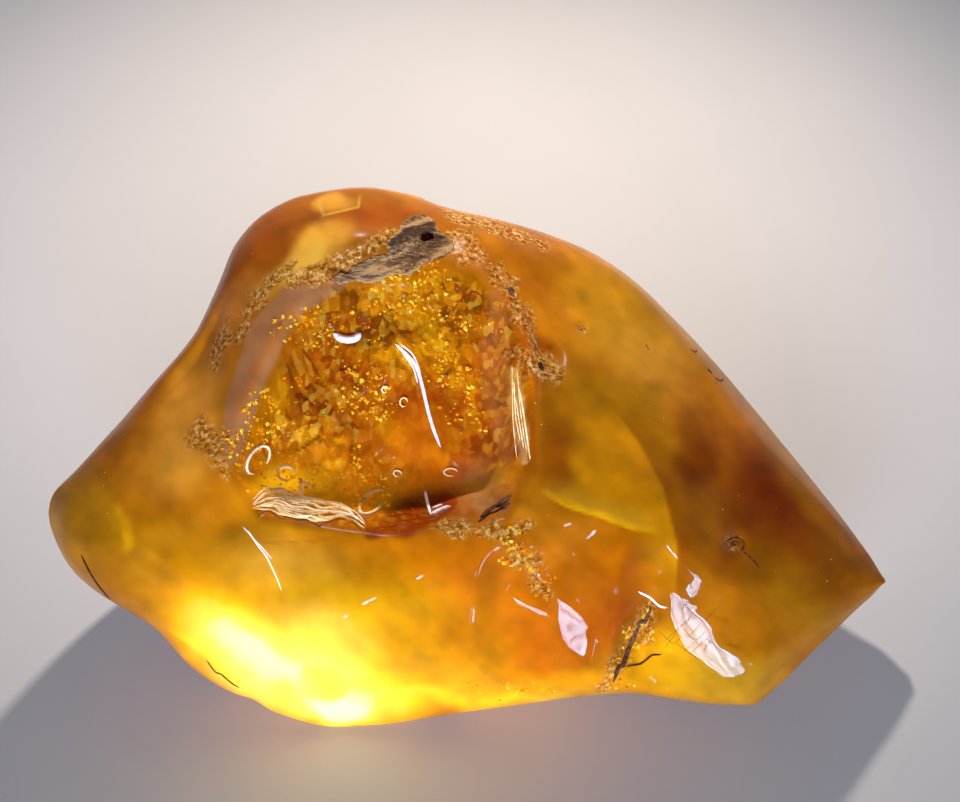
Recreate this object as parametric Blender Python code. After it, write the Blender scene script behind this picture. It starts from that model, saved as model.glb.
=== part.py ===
"""A raw amber piece: one polished lump, 110 mm long, that rests on a small flat worn on its underside.

The lump is a thick, rough lens that leans back. Its broad face is the one that people look at, so the
form is drawn over that face, in three directions:

    x       along the length, from the rounded left tip to the sharp right one,
    rise    up the broad face, which leans back from upright by LEAN,
    depth   straight into the lump, away from whoever looks at the broad face.

Each ring of the skin is a closed section at one x. Its front half is the broad face and its back half
the rounded back, and they meet along the lump's two edges, TOP_EDGE and BOTTOM_EDGE. The relief of the
broad face (lobe, saddle, window, crust ledge, cleft and pits) is taken off in the depth direction.
Lengths are in millimetres up to the point where the mesh is made, in metres.
"""

import math

import bmesh
import bpy
import numpy as np

MM = 0.001

# ---- the lump -------------------------------------------------------------------------------------
LENGTH = 110.0
LEAN = math.radians(50.0)
# The resting face cuts the lump here, measured up from the level through the middle of the broad face.
RESTING_LEVEL = -26.0

# The two edges of the broad face, from the left tip to the right one, as (x, rise).
TOP_EDGE = (
    (-55.0, -6.8), (-54.5, -4.6), (-51.8, -1.6), (-46.6, 4.1), (-41.3, 10.3), (-36.1, 16.6),
    (-33.2, 22.6), (-30.8, 28.3), (-27.2, 32.2), (-22.0, 34.7), (-14.0, 35.8), (-8.0, 34.9),
    (-3.5, 33.3), (3.3, 31.8), (11.2, 29.5), (16.4, 27.3), (21.7, 23.8), (26.9, 18.9),
    (32.2, 13.3), (37.4, 7.2), (42.7, 0.7), (47.9, -5.9), (52.4, -12.0), (55.0, -16.2),
)
BOTTOM_EDGE = (
    (-55.0, -6.8), (-54.5, -9.3), (-51.8, -14.4), (-49.2, -16.8), (-44.0, -20.1), (-41.3, -21.9),
    (-36.1, -27.4), (-30.8, -30.6), (-28.6, -31.3), (-25.6, -33.1), (-17.7, -35.2), (-12.5, -34.9),
    (-2.0, -33.2), (5.9, -32.0), (13.8, -30.8), (20.3, -30.3), (26.9, -31.1), (32.2, -31.8),
    (36.6, -31.9), (40.0, -29.6), (45.3, -24.8), (50.5, -19.9), (55.0, -16.2),
)

# How far the front stands out of the edges' plane and how far the back does, as (x, thickness).
FRONT_SWELL = (
    (-55.0, 0.0), (-52.0, 6.0), (-44.0, 12.0), (-32.0, 17.5), (-14.0, 23.0), (4.0, 22.5),
    (22.0, 18.0), (38.0, 11.5), (48.0, 6.0), (55.0, 0.0),
)
BACK_SWELL = (
    (-55.0, 0.0), (-52.0, 6.5), (-44.0, 14.0), (-30.0, 23.0), (-8.0, 29.0), (12.0, 27.0),
    (28.0, 20.5), (40.0, 13.0), (48.0, 7.0), (55.0, 0.0),
)
# The edges' plane bends: the left arm comes forward and the right tip goes back, as (x, depth).
EDGE_DEPTH = ((-55.0, -5.0), (-34.0, -2.0), (-14.0, 0.0), (20.0, 2.0), (36.0, 4.0), (55.0, 7.0))
# To the right the plane also turns: the upper edge goes back and the lower edge comes forward by this much.
EDGE_TURN = ((-55.0, 0.0), (-16.0, 0.0), (4.0, 3.0), (14.0, 6.0), (26.0, 8.5), (38.0, 7.5), (55.0, 0.0))

# The rim's cross-section is (1 - up^2) to a power: a half makes it round, less makes it blunt and near one
# makes it sharp. The lower rim's power changes along x, and the upper rim has powers of its own.
BOTTOM_RIM = ((-55.0, 0.5), (-24.0, 0.5), (-4.0, 0.44), (14.0, 0.4), (28.0, 0.62), (40.0, 0.85), (55.0, 0.9))
TOP_RIM_FRONT = 0.56
TOP_RIM_BACK = 0.52
# Between these heights (-1 is the lower rim and 1 the upper one) one rim's power gives way to the other's.
RIM_BLEND = (-0.7, 0.7)
# The front and the back both hang a little heavier towards the bottom, by these shares.
FRONT_SAG = 0.16
BACK_SAG = 0.22
# The relief of the broad face dies out over this share of its half height, next to either rim.
RELIEF_FADE = 0.22

# Ring spacing along x, how many points go round each ring, and how much they crowd towards the rims.
STEP_AT = (
    (-55.0, 0.55), (-50.0, 1.7), (-34.0, 1.45), (-28.0, 1.15),
    (10.0, 1.1), (16.0, 1.6), (48.0, 1.8), (55.0, 0.8),
)
FRONT_POINTS = 44
BACK_POINTS = 14
RIM_CROWDING = 0.6
LENGTH_SAMPLES = 4000
# Faces that meet more sharply than this keep a crisp edge between them.
SHARP_EDGE = math.radians(50.0)

# ---- the relief of the broad face -----------------------------------------------------------------
# The window is a many-sided dish broken into the face. Each wall is (x, rise) of its first corner and the
# width that the wall takes to slope down to the floor. Corners go round clockwise, from the lower left.
# The floor is a ramp: WINDOW_DEPTH gives its depth by rise, least at the top and most at the lower wall.
WINDOW_WALLS = (
    ((-31.0, -1.6), 5.6), ((-29.5, 5.0), 6.0), ((-23.0, 19.5), 6.0), ((-16.5, 24.0), 7.5),
    ((-0.2, 26.4), 7.5), ((5.4, 21.4), 5.4), ((8.4, 13.0), 4.4), ((8.4, -0.5), 4.4),
    ((4.8, -7.2), 4.0), ((-10.5, -9.4), 4.0), ((-26.6, -7.2), 4.6),
)
WINDOW_DEPTH = ((-10.0, 11.0), (-4.0, 10.6), (8.0, 8.0), (18.0, 5.6), (26.0, 3.6))
# Corners between walls are rounded by this share of the depth, and each wall eases in at its brink and foot.
WINDOW_CORNERS = 0.12
WALL_BRINK = -0.14
WALL_FOOT = 1.15
# A low keel runs down the window's floor, where its two polished facets meet.
KEEL = ((-10.2, 15.6), (-3.4, 1.2))
KEEL_HEIGHT = 1.5
KEEL_WIDTH = 4.6

# Swellings and hollows as (x, rise, radius along x, radius along rise, turn in degrees, height).
SWELLS = (
    (-15.5, 30.0, 15.0, 5.0, 4.0, 3.2),     # lobe along the top, above the window
    (-33.5, 14.0, 5.0, 10.0, -32.0, -3.0),  # saddle between the lobe and the left arm
    (-41.0, -3.5, 9.0, 5.5, 22.0, 1.6),     # back of the left arm
    (24.0, 2.0, 17.0, 17.0, 0.0, 2.2),      # crown of the right flank
    (-20.0, -22.0, 12.0, 8.0, 0.0, 1.8),    # heavy lower left bulge
    (19.5, -21.0, 5.0, 9.0, -20.0, -1.5),   # hollow that the cleft runs down
    (9.0, -21.0, 6.0, 6.0, 0.0, 0.9),       # cushion left of the cleft
    (30.0, -23.0, 7.0, 6.0, 30.0, 1.0),     # cushion right of the cleft
)

# Flat cuts: each is a point (x, rise), the way the cut leans in the face (degrees from +x), how steeply
# it goes back from there and the stretch of x that it is flat over. It takes off whatever stands beyond it.
FACET_CUTS = (
    ((-36.5, -21.5), -128.0, 1.15, (-55.0, 55.0)),  # under the left arm
    ((11.0, -14.0), -73.0, 0.6, (5.0, 16.0)),      # broad facet of the lower face, left of the cleft
    ((29.0, -14.5), -98.0, 0.70, (25.0, 38.0)),     # and right of it
    ((2.0, -28.2), -92.0, 1.9, (-55.0, 55.0)),      # narrow band along the bottom
    ((33.0, 3.2), 49.0, 0.82, (-55.0, 55.0)),       # long bevel along the right shoulder
    ((-29.0, 21.5), 150.0, 0.9, (-55.0, 55.0)),     # left shoulder of the lobe
)
FACET_SOFTNESS = 1.6
# Past its flat stretch a cut curves up out of the face along a parabola of this half width for 1 mm.
FACET_RUNOUT = 2.8

# Furrows as (points along it, half width, depth).
FURROWS = (
    (((-3.0, 32.3), (3.0, 30.4), (9.6, 28.0)), 1.3, 1.7),       # trough behind the top ridge
    (((23.4, -18.4), (20.4, -23.4), (17.6, -28.9)), 1.2, 2.6),  # the cleft
    (((22.6, -21.0), (21.6, -25.4), (20.8, -29.4)), 1.1, 1.5),  # its second arm
    (((-17.4, 24.6), (-9.0, 26.6), (-3.2, 28.4)), 1.5, 1.5),    # weathered ledge over the window
    (((3.6, 25.0), (7.4, 19.0), (11.0, 12.2)), 1.0, 1.2),       # ragged seam right of the window
    (((-39.5, -21.5), (-34.0, -27.0), (-30.0, -30.6)), 0.7, 0.9),  # seam along the lower left rim
)
# A furrow's depth at its ends, as a share of its depth in the middle.
FURROW_ENDS = 0.55
# Pits as (x, rise, radius, depth).
PITS = (
    (34.1, -10.5, 1.5, 1.3), (14.4, 17.2, 0.9, 0.7), (-32.6, 3.0, 2.4, 0.8), (9.7, 13.6, 2.0, 1.3),
    (-5.4, 28.8, 1.5, 1.8), (6.4, -8.4, 2.4, 1.0), (10.4, -13.0, 2.0, 0.7), (-2.0, -31.5, 1.6, 0.8),
)

# Broad unevenness of the hand-ground skin: wave lengths along x, rise and depth, phase, and height.
WAVES = (
    (38.0, 31.0, 27.0, 0.4, 0.55), (23.0, 27.0, 33.0, 2.1, 0.40), (17.0, 15.0, 19.0, 4.0, 0.22),
    (12.5, 19.0, 11.0, 5.2, 0.14),
)
# Lumps of the back: how far x and rise go for one radian, phase, and height.
BACK_LUMPS = ((9.0, 24.0, 0.7, 2.2), (5.5, -7.5, 1.9, 1.3), (-14.0, 8.0, 0.4, 1.1))
# How deep behind the edges' plane the waves are read for the back, so that it differs from the front.
BACK_WAVES_AT = 40.0


def curve_through(x, points):
    """A smooth curve through points that never overshoots them: cubic pieces with limited slopes."""
    knots = np.array(points, float)
    spans, rises = np.diff(knots[:, 0]), np.diff(knots[:, 1])
    slopes = rises / spans
    before, after = slopes[:-1], slopes[1:]
    same_way = before * after > 0
    mean = np.where(same_way, 2 * before * after / np.where(same_way, before + after, 1.0), 0.0)
    tangents = np.concatenate([slopes[:1], mean, slopes[-1:]])
    piece = np.clip(np.searchsorted(knots[:, 0], x, side="right") - 1, 0, len(spans) - 1)
    t = np.clip((x - knots[piece, 0]) / spans[piece], 0.0, 1.0)
    start, end = knots[piece, 1], knots[piece + 1, 1]
    pull_out = tangents[piece] * spans[piece]
    pull_in = tangents[piece + 1] * spans[piece]
    return (
        start * (1 + 2 * t) * (1 - t) ** 2 + end * t * t * (3 - 2 * t)
        + pull_out * t * (1 - t) ** 2 - pull_in * t * t * (1 - t)
    )


def edge_curve(x, points):
    """An edge of the broad face. Reading it by angle round the length lets it turn straight up at a tip."""
    turned = [(math.acos(max(-1.0, min(1.0, -2 * px / LENGTH))), rise) for px, rise in points]
    return curve_through(np.arccos(np.clip(-2 * x / LENGTH, -1.0, 1.0)), turned)


def eased(value, low, high):
    """0 below low, 1 above high, and a smooth rise between."""
    t = np.clip((value - low) / (high - low), 0.0, 1.0)
    return t * t * (3 - 2 * t)


def softer_min(a, b, softness):
    """The lesser of two heights, with the edge between them rounded over softness."""
    near = np.clip(0.5 + 0.5 * (b - a) / softness, 0.0, 1.0)
    return b * (1 - near) + a * near - softness * near * (1 - near)


def distance_to_line(x, rise, points):
    """Distance to a line of straight stretches, and how far along it the nearest place is, 0 to 1."""
    best, along = np.full(np.shape(x), math.inf), np.zeros(np.shape(x))
    for i, ((ax, ay), (bx, by)) in enumerate(zip(points[:-1], points[1:])):
        span = (bx - ax) ** 2 + (by - ay) ** 2
        t = np.clip(((x - ax) * (bx - ax) + (rise - ay) * (by - ay)) / span, 0.0, 1.0)
        gap = np.hypot(x - ax - t * (bx - ax), rise - ay - t * (by - ay))
        along = np.where(gap < best, (i + t) / (len(points) - 1), along)
        best = np.minimum(best, gap)
    return best, along


def window_sink(x, rise):
    """How deep the window lies: the least of its walls' slopes, levelling off at the floor."""
    share = np.full(np.shape(x), 1.0)
    corners = [corner for corner, _ in WINDOW_WALLS]
    for i, ((ax, ay), width) in enumerate(WINDOW_WALLS):
        bx, by = corners[(i + 1) % len(corners)]
        inward = ((rise - ay) * (ax - bx) - (x - ax) * (ay - by)) / math.hypot(bx - ax, by - ay)
        share = softer_min(share, inward / width, WINDOW_CORNERS)
    gap, _ = distance_to_line(x, rise, KEEL)
    keel = KEEL_HEIGHT * np.exp(-((gap / KEEL_WIDTH) ** 2) - gap / KEEL_WIDTH)
    return eased(share, WALL_BRINK, WALL_FOOT) * (curve_through(rise, WINDOW_DEPTH) - keel)


def swell_height(x, rise):
    """Sum of the swellings and hollows, each a turned Gaussian mound."""
    height = np.zeros(np.shape(x))
    for cx, cy, rx, ry, turn, size in SWELLS:
        c, s = math.cos(math.radians(turn)), math.sin(math.radians(turn))
        along = ((x - cx) * c + (rise - cy) * s) / rx
        across = ((rise - cy) * c - (x - cx) * s) / ry
        height = height + size * np.exp(-along * along - across * across)
    return height


def furrow_depth(x, rise):
    """Furrows, deepest in their middle and running out at both ends."""
    depth = np.zeros(np.shape(x))
    for points, half_width, size in FURROWS:
        gap, along = distance_to_line(x, rise, points)
        shallower = FURROW_ENDS + (1 - FURROW_ENDS) * np.sin(math.pi * along)
        depth = np.maximum(depth, size * shallower * (1 - eased(gap, 0.0, 2 * half_width)))
    return depth


def pit_depth(x, rise):
    """Round-bottomed pits."""
    depth = np.zeros(np.shape(x))
    for cx, cy, radius, size in PITS:
        depth = np.maximum(depth, size * (1 - eased(np.hypot(x - cx, rise - cy), 0.0, 1.5 * radius)))
    return depth


def unevenness(x, rise, depth):
    """Slow waves that cross each other, so that no stretch of the skin is a perfect curve."""
    total = np.zeros(np.shape(x))
    for length_x, length_rise, length_depth, phase, height in WAVES:
        total = total + height * (
            np.sin(2 * math.pi * x / length_x + phase + 1.3 * np.sin(2 * math.pi * rise / length_rise))
            * np.cos(2 * math.pi * rise / length_rise + 2 * math.pi * depth / length_depth + phase)
        )
    return total


def front_height(x, rise, up, profile):
    """How far the broad face stands out of the edges' plane. up runs from -1 at the bottom edge to 1."""
    inside = eased(1 - np.abs(up), 0.0, RELIEF_FADE)
    sag = 1.0 - FRONT_SAG * (1 - up * up) * up
    height = curve_through(x, FRONT_SWELL) * profile * sag + swell_height(x, rise) * inside
    for (px, py), turn, steepness, (first, last) in FACET_CUTS:
        reach = (x - px) * math.cos(math.radians(turn)) + (rise - py) * math.sin(math.radians(turn))
        runout = np.maximum(np.maximum(first - x, x - last), 0.0) / FACET_RUNOUT
        ground = curve_through(px, FRONT_SWELL) * facet_level(px, py)
        height = softer_min(height, ground - steepness * reach + runout * runout, FACET_SOFTNESS)
    height = height + unevenness(x, rise, 0.0) * inside
    return height - (window_sink(x, rise) + furrow_depth(x, rise) + pit_depth(x, rise)) * inside


def facet_level(px, py):
    """The share of the front's swell that the face has at a point, from how high up the face it is."""
    low, high = edge_curve(px, BOTTOM_EDGE), edge_curve(px, TOP_EDGE)
    up = (py - (low + high) / 2) / ((high - low) / 2)
    return float((1 - up * up) ** 0.5)


def back_height(x, rise, up, profile):
    """How far the rounded back stands out, with a few broad lumps and a heel that the lump sits on."""
    sag = 1.0 - BACK_SAG * (1 - up * up) * up
    lumps = unevenness(x, rise, BACK_WAVES_AT)
    for length_x, length_rise, phase, size in BACK_LUMPS:
        lumps = lumps + size * np.sin(x / length_x + rise / length_rise + phase)
    return (curve_through(x, BACK_SWELL) * sag + lumps) * profile


def stations():
    """The x of each ring: steps follow STEP_AT, so rings crowd where the form turns fast."""
    fine = np.linspace(-LENGTH / 2, LENGTH / 2, LENGTH_SAMPLES)
    count = np.concatenate([[0.0], np.cumsum(np.diff(fine) / curve_through(fine[1:], STEP_AT))])
    rings = int(round(count[-1]))
    return np.interp(np.linspace(0, count[-1], rings + 1)[1:-1], count, fine)


def around(points):
    """Heights from -1 to 1 up one half of a ring, closer together near the rims."""
    even = np.linspace(-1.0, 1.0, points + 1)
    return (1 - RIM_CROWDING) * even + RIM_CROWDING * np.sin(math.pi * even / 2)


def rim_profile(x, up, top_power):
    """The cross-section of one half of a ring, 0 at both rims and 1 in the middle."""
    bottom_power = curve_through(x, BOTTOM_RIM)
    return (1 - up * up) ** (bottom_power + (top_power - bottom_power) * eased(up, *RIM_BLEND))


def lump_points():
    """The skin as rings of points, in the lump's own frame, in millimetres: an array of ring, place, xyz."""
    front_up, back_up = around(FRONT_POINTS)[:-1], around(BACK_POINTS)[::-1][:-1]
    x = stations()[:, None]
    low, high = edge_curve(x, BOTTOM_EDGE), edge_curve(x, TOP_EDGE)
    middle, half = (low + high) / 2, (high - low) / 2
    plane, turn = curve_through(x, EDGE_DEPTH), curve_through(x, EDGE_TURN)

    rise = middle + half * front_up
    profile = rim_profile(x, front_up, TOP_RIM_FRONT)
    front = plane + turn * front_up - front_height(x, rise, front_up + 0 * x, profile)
    front_ring = np.stack([x + 0 * rise, rise, front], axis=-1)

    rise = middle + half * back_up
    back = plane + turn * back_up + back_height(x, rise, back_up, rim_profile(x, back_up, TOP_RIM_BACK))
    back_ring = np.stack([x + 0 * rise, rise, back], axis=-1)
    return np.concatenate([front_ring, back_ring], axis=1)


def stand_up(points):
    """Turns (x, rise, depth) into X, Y, Z with the broad face leaning back and the resting face at Z 0."""
    x, rise, depth = points[..., 0], points[..., 1], points[..., 2]
    y = rise * math.sin(LEAN) + depth * math.cos(LEAN)
    z = rise * math.cos(LEAN) - depth * math.sin(LEAN) - RESTING_LEVEL
    return np.stack([x, y, z], axis=-1)


def tip(side):
    """The point that closes the rings at one end: side is -1 for the left tip and 1 for the right one."""
    x = np.array(side * LENGTH / 2)
    return stand_up(np.stack([x, edge_curve(x, TOP_EDGE), curve_through(x, EDGE_DEPTH)]))


def skin_mesh():
    """The closed skin, as a bmesh of rings of quads with a fan of triangles at each tip."""
    rings = stand_up(lump_points())
    count, size = rings.shape[:2]
    bm = bmesh.new()
    verts = [[bm.verts.new(point * MM) for point in ring] for ring in rings]
    ends = (bm.verts.new(tip(-1) * MM), bm.verts.new(tip(1) * MM))
    for i in range(count - 1):
        for j in range(size):
            k = (j + 1) % size
            bm.faces.new((verts[i][j], verts[i + 1][j], verts[i + 1][k], verts[i][k]))
    for j in range(size):
        k = (j + 1) % size
        bm.faces.new((ends[0], verts[0][j], verts[0][k]))
        bm.faces.new((ends[1], verts[-1][k], verts[-1][j]))
    return bm


def grind_resting_face(bm):
    """Cuts the lump off flat at Z 0 and closes the cut with one face."""
    geometry = bm.verts[:] + bm.edges[:] + bm.faces[:]
    bmesh.ops.bisect_plane(bm, geom=geometry, plane_co=(0, 0, 0), plane_no=(0, 0, 1), clear_inner=True)
    rim = [edge for edge in bm.edges if edge.is_boundary]
    bmesh.ops.holes_fill(bm, edges=rim, sides=0)


def amber_material():
    """Polished Baltic amber: honey brown, glossy, and clear enough to see into."""
    material = bpy.data.materials.new("amber")
    material.use_nodes = True
    shader = material.node_tree.nodes["Principled BSDF"]
    shader.inputs["Base Color"].default_value = (0.45, 0.16, 0.012, 1.0)
    shader.inputs["Roughness"].default_value = 0.12
    shader.inputs["Metallic"].default_value = 0.0
    shader.inputs["IOR"].default_value = 1.54
    shader.inputs["Transmission Weight"].default_value = 0.5
    return material


def make_amber():
    """The whole piece, standing on its resting face about the origin."""
    bm = skin_mesh()
    grind_resting_face(bm)
    low = np.min([vert.co for vert in bm.verts], axis=0)
    high = np.max([vert.co for vert in bm.verts], axis=0)
    bmesh.ops.translate(bm, vec=(-(low[0] + high[0]) / 2, -(low[1] + high[1]) / 2, 0.0), verts=bm.verts)
    bmesh.ops.recalc_face_normals(bm, faces=bm.faces)
    mesh = bpy.data.meshes.new("amber")
    bm.to_mesh(mesh)
    bm.free()
    mesh.shade_smooth()
    mesh.set_sharp_from_angle(angle=SHARP_EDGE)
    mesh.materials.append(amber_material())
    bpy.context.scene.collection.objects.link(bpy.data.objects.new("amber", mesh))


for old in list(bpy.data.objects):
    bpy.data.objects.remove(old)
make_amber()
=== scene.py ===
"""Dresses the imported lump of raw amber: its fine skin, inner fractures, crust and splinters, and the studio.

The lump leans back, and its form is drawn over its broad face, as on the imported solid: x runs along the
length, rise up the broad face and depth straight into the lump. Sizes are in millimetres up to the point
where a mesh is made, and in metres from there on.
"""

from __future__ import annotations

import itertools
import logging
import math
from dataclasses import dataclass, field
from enum import Enum, IntEnum

import bpy
import numpy as np
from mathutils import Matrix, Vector

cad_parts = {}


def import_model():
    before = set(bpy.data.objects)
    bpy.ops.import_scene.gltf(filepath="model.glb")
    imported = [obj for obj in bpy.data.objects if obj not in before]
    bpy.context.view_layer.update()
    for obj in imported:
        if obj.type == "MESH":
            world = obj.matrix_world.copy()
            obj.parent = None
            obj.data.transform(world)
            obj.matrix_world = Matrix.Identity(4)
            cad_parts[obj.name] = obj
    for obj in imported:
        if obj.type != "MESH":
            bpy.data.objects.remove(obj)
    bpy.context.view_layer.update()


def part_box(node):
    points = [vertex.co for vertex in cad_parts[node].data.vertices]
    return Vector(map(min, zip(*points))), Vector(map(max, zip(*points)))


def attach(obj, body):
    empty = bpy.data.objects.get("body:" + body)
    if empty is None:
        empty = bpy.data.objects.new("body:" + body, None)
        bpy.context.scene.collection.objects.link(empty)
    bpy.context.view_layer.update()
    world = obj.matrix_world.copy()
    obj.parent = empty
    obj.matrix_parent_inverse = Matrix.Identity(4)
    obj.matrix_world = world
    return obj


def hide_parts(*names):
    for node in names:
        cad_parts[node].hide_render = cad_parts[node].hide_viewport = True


LOG = logging.getLogger("raw_amber")
MM = 0.001
NOISE_PERIOD = 32

Array = np.ndarray
Pair = tuple[float, float]
Points = tuple[Pair, ...]
Colour = tuple[float, float, float]
Stops = tuple[tuple[float, Colour], ...]
Mesh = bpy.types.Mesh
Piece = bpy.types.Object
Material = bpy.types.Material
Tree = bpy.types.NodeTree
Socket = bpy.types.NodeSocket
Drive = float | tuple | Socket


class Seed(IntEnum):
    """Which random lattice each noise reads, so that no two of them look alike."""

    CRAZED_RIM = 51
    COMB = 55
    RIPPLES = 57
    FLAT_RIM = 58
    CRUST = 62
    BEND_X = 71
    BEND_RISE = 72
    WINDOW_RIM = 73
    MOTTLE = 74
    BACK_TONES = 75
    BACK_VEIL = 76
    STREAKS = 77
    PAINTED_GLOW_BEND_X = 81
    PAINTED_GLOW_BEND_RISE = 82
    FLAKE_PATCHES = 91
    FLAKES = 92
    DUST = 93
    STRAND_DRIFT = 95
    SCRATCHES = 97


# ---- small tools
def linear(code: str) -> Colour:
    """Turns an sRGB hex colour into linear red, green and blue.

    Args:
        code: the colour as #RRGGBB.

    Returns:
        Three numbers from 0 to 1, by the sRGB curve: v / 12.92 below 0.04045, and above it
        ((v + 0.055) / 1.055)^2.4.
    """
    parts = (int(code[i : i + 2], 16) / 255 for i in (1, 3, 5))
    return tuple(v / 12.92 if v <= 0.04045 else ((v + 0.055) / 1.055) ** 2.4 for v in parts)


def eased(value: Array, low: float, high: float) -> Array:
    """0 below low, 1 above high, and the cubic t * t * (3 - 2 t) between."""
    t = np.clip((value - low) / (high - low), 0.0, 1.0)
    return t * t * (3 - 2 * t)


def blended(under: Array, over: Array, share: Array) -> Array:
    """One value laid over another by a share."""
    return under * (1 - share) + over * share


def turned(x: Array, rise: Array, turn: float) -> tuple[Array, Array]:
    """Offsets read along and across a line that is turned by some degrees from the x axis."""
    c, s = math.cos(math.radians(turn)), math.sin(math.radians(turn))
    return x * c + rise * s, rise * c - x * s


def softer_min(a: Array, b: Array, softness: float) -> Array:
    """The lesser of two heights, with the edge between them rounded by a parabola over softness."""
    near = np.clip(0.5 + 0.5 * (b - a) / softness, 0.0, 1.0)
    return b * (1 - near) + a * near - softness * near * (1 - near)


def curve_through(x: Array, points: Points) -> Array:
    """A smooth curve through points that never overshoots them.

    Args:
        x: where to read the curve.
        points: its knots as (x, value), in order of x.

    Returns:
        Cubic Hermite pieces whose slope at a knot is the harmonic mean of the slopes on both sides.
    """
    knots = np.array(points, float)
    spans, rises = np.diff(knots[:, 0]), np.diff(knots[:, 1])
    slopes = rises / spans
    before, after = slopes[:-1], slopes[1:]
    same_way = before * after > 0
    mean = np.where(same_way, 2 * before * after / np.where(same_way, before + after, 1.0), 0.0)
    tangents = np.concatenate([slopes[:1], mean, slopes[-1:]])
    piece = np.clip(np.searchsorted(knots[:, 0], x, side="right") - 1, 0, len(spans) - 1)
    t = np.clip((x - knots[piece, 0]) / spans[piece], 0.0, 1.0)
    start, end = knots[piece, 1], knots[piece + 1, 1]
    return (
        start * (1 + 2 * t) * (1 - t) ** 2
        + end * t * t * (3 - 2 * t)
        + tangents[piece] * spans[piece] * t * (1 - t) ** 2
        - tangents[piece + 1] * spans[piece] * t * t * (1 - t)
    )


def distance_to_line(x: Array, rise: Array, points: Points) -> tuple[Array, Array, Array]:
    """How far places lie from a line of straight stretches.

    Args:
        x: the places' x.
        rise: their rise.
        points: the line's corners.

    Returns:
        The distance, how far along the line the nearest place on it is, from 0 to 1, and 1 for places to
        the left of the line or -1 for those to its right.
    """
    best, along, side = np.full(np.shape(x), np.inf), np.zeros(np.shape(x)), np.zeros(np.shape(x))
    for i, ((ax, ay), (bx, by)) in enumerate(zip(points[:-1], points[1:])):
        span = (bx - ax) ** 2 + (by - ay) ** 2
        t = np.clip(((x - ax) * (bx - ax) + (rise - ay) * (by - ay)) / span, 0.0, 1.0)
        gap = np.hypot(x - ax - t * (bx - ax), rise - ay - t * (by - ay))
        cross = (bx - ax) * (rise - ay) - (by - ay) * (x - ax)
        side = np.where(gap < best, np.sign(cross), side)
        along = np.where(gap < best, (i + t) / (len(points) - 1), along)
        best = np.minimum(best, gap)
    return best, along, side


def lattice_noise(points: Array, cell: float, seed: int) -> Array:
    """Smooth noise in space.

    Args:
        points: places, with their three coordinates last.
        cell: the lattice's spacing.
        seed: which random lattice.

    Returns:
        Values from -1 to 1: random corner values of a cubic lattice, blended by the smoothstep of the
        place within its cell.
    """
    table = np.random.default_rng(seed).uniform(-1.0, 1.0, (NOISE_PERIOD,) * 3)
    grid = points / cell
    low = np.floor(grid).astype(int)
    part = grid - low
    part = part * part * (3 - 2 * part)
    total = np.zeros(points.shape[:-1])
    for corner in itertools.product((0, 1), repeat=3):
        weight = np.prod(np.where(np.array(corner) == 1, part, 1 - part), axis=-1)
        i, j, k = np.moveaxis((low + corner) % NOISE_PERIOD, -1, 0)
        total = total + weight * table[i, j, k]
    return total


def layered_noise(points: Array, cell: float, seed: int, layers: int = 3) -> Array:
    """Sum of lattice noises, each of half the cell and half the strength of the one before."""
    return sum(lattice_noise(points, cell / 2**i, seed + i) / 2**i for i in range(layers))


def on_plane(x: Array, rise: Array) -> Array:
    """Places in space at depth 0, where a noise can be read."""
    return np.stack([x, rise, 0 * x], axis=-1)


@dataclass(frozen=True)
class FaceNoise:
    """Layered noise on the plane of the broad face.

    Attributes:
        cell: its size in millimetres.
        height: how strong it is.
        seed: which random lattice.
        layers: how many layers it has.
    """

    cell: float
    height: float
    seed: int
    layers: int = 3

    def read(self, x: Array, rise: Array) -> Array:
        """The noise at places on the face."""
        return self.height * layered_noise(on_plane(x, rise), self.cell, self.seed, self.layers)


def fading_ends(along: Array, steepness: float) -> Array:
    """1 along a line, falling to 0 at its two ends by the parabola of the share along it."""
    return np.clip(steepness * along * (1 - along), 0.0, 1.0)


@dataclass(frozen=True)
class Cells:
    """A plane broken into many-sided cells, like crazed resin: every place belongs to its nearest seed.

    Attributes:
        size: the seeds' mean spacing.
        seed: which random plane.
    """

    size: float
    seed: int

    def read(self, x: Array, y: Array) -> tuple[Array, Array, Array]:
        """Looks up places in the broken plane.

        Args:
            x: first coordinate of the places.
            y: second coordinate.

        Returns:
            The margin to the cell's border in cells, a random value per cell from 0 to 1, and the height
            of the cell's own tilted plane: the place's two offsets from its seed times two random tilts.
        """
        rng = np.random.default_rng(self.seed)
        spots = rng.uniform(0.0, 1.0, (NOISE_PERIOD, NOISE_PERIOD, 2))
        traits = rng.uniform(0.0, 1.0, (NOISE_PERIOD, NOISE_PERIOD, 3))
        gx, gy = x / self.size, y / self.size
        low_x, low_y = np.floor(gx).astype(int), np.floor(gy).astype(int)
        best, second = np.full(np.shape(gx), np.inf), np.full(np.shape(gx), np.inf)
        value, lean = np.zeros(np.shape(gx)), np.zeros(np.shape(gx))
        for dx, dy in itertools.product((-1, 0, 1), repeat=2):
            cx, cy = low_x + dx, low_y + dy
            kx, ky = cx % NOISE_PERIOD, cy % NOISE_PERIOD
            off_x, off_y = gx - cx - spots[kx, ky, 0], gy - cy - spots[kx, ky, 1]
            gap = np.hypot(off_x, off_y)
            closer = gap < best
            second = np.where(closer, best, np.minimum(second, gap))
            best = np.where(closer, gap, best)
            value = np.where(closer, traits[kx, ky, 0], value)
            tilt = (traits[kx, ky, 1] - 0.5) * off_x + (traits[kx, ky, 2] - 0.5) * off_y
            lean = np.where(closer, 2 * tilt, lean)
        return second - best, value, lean


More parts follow.
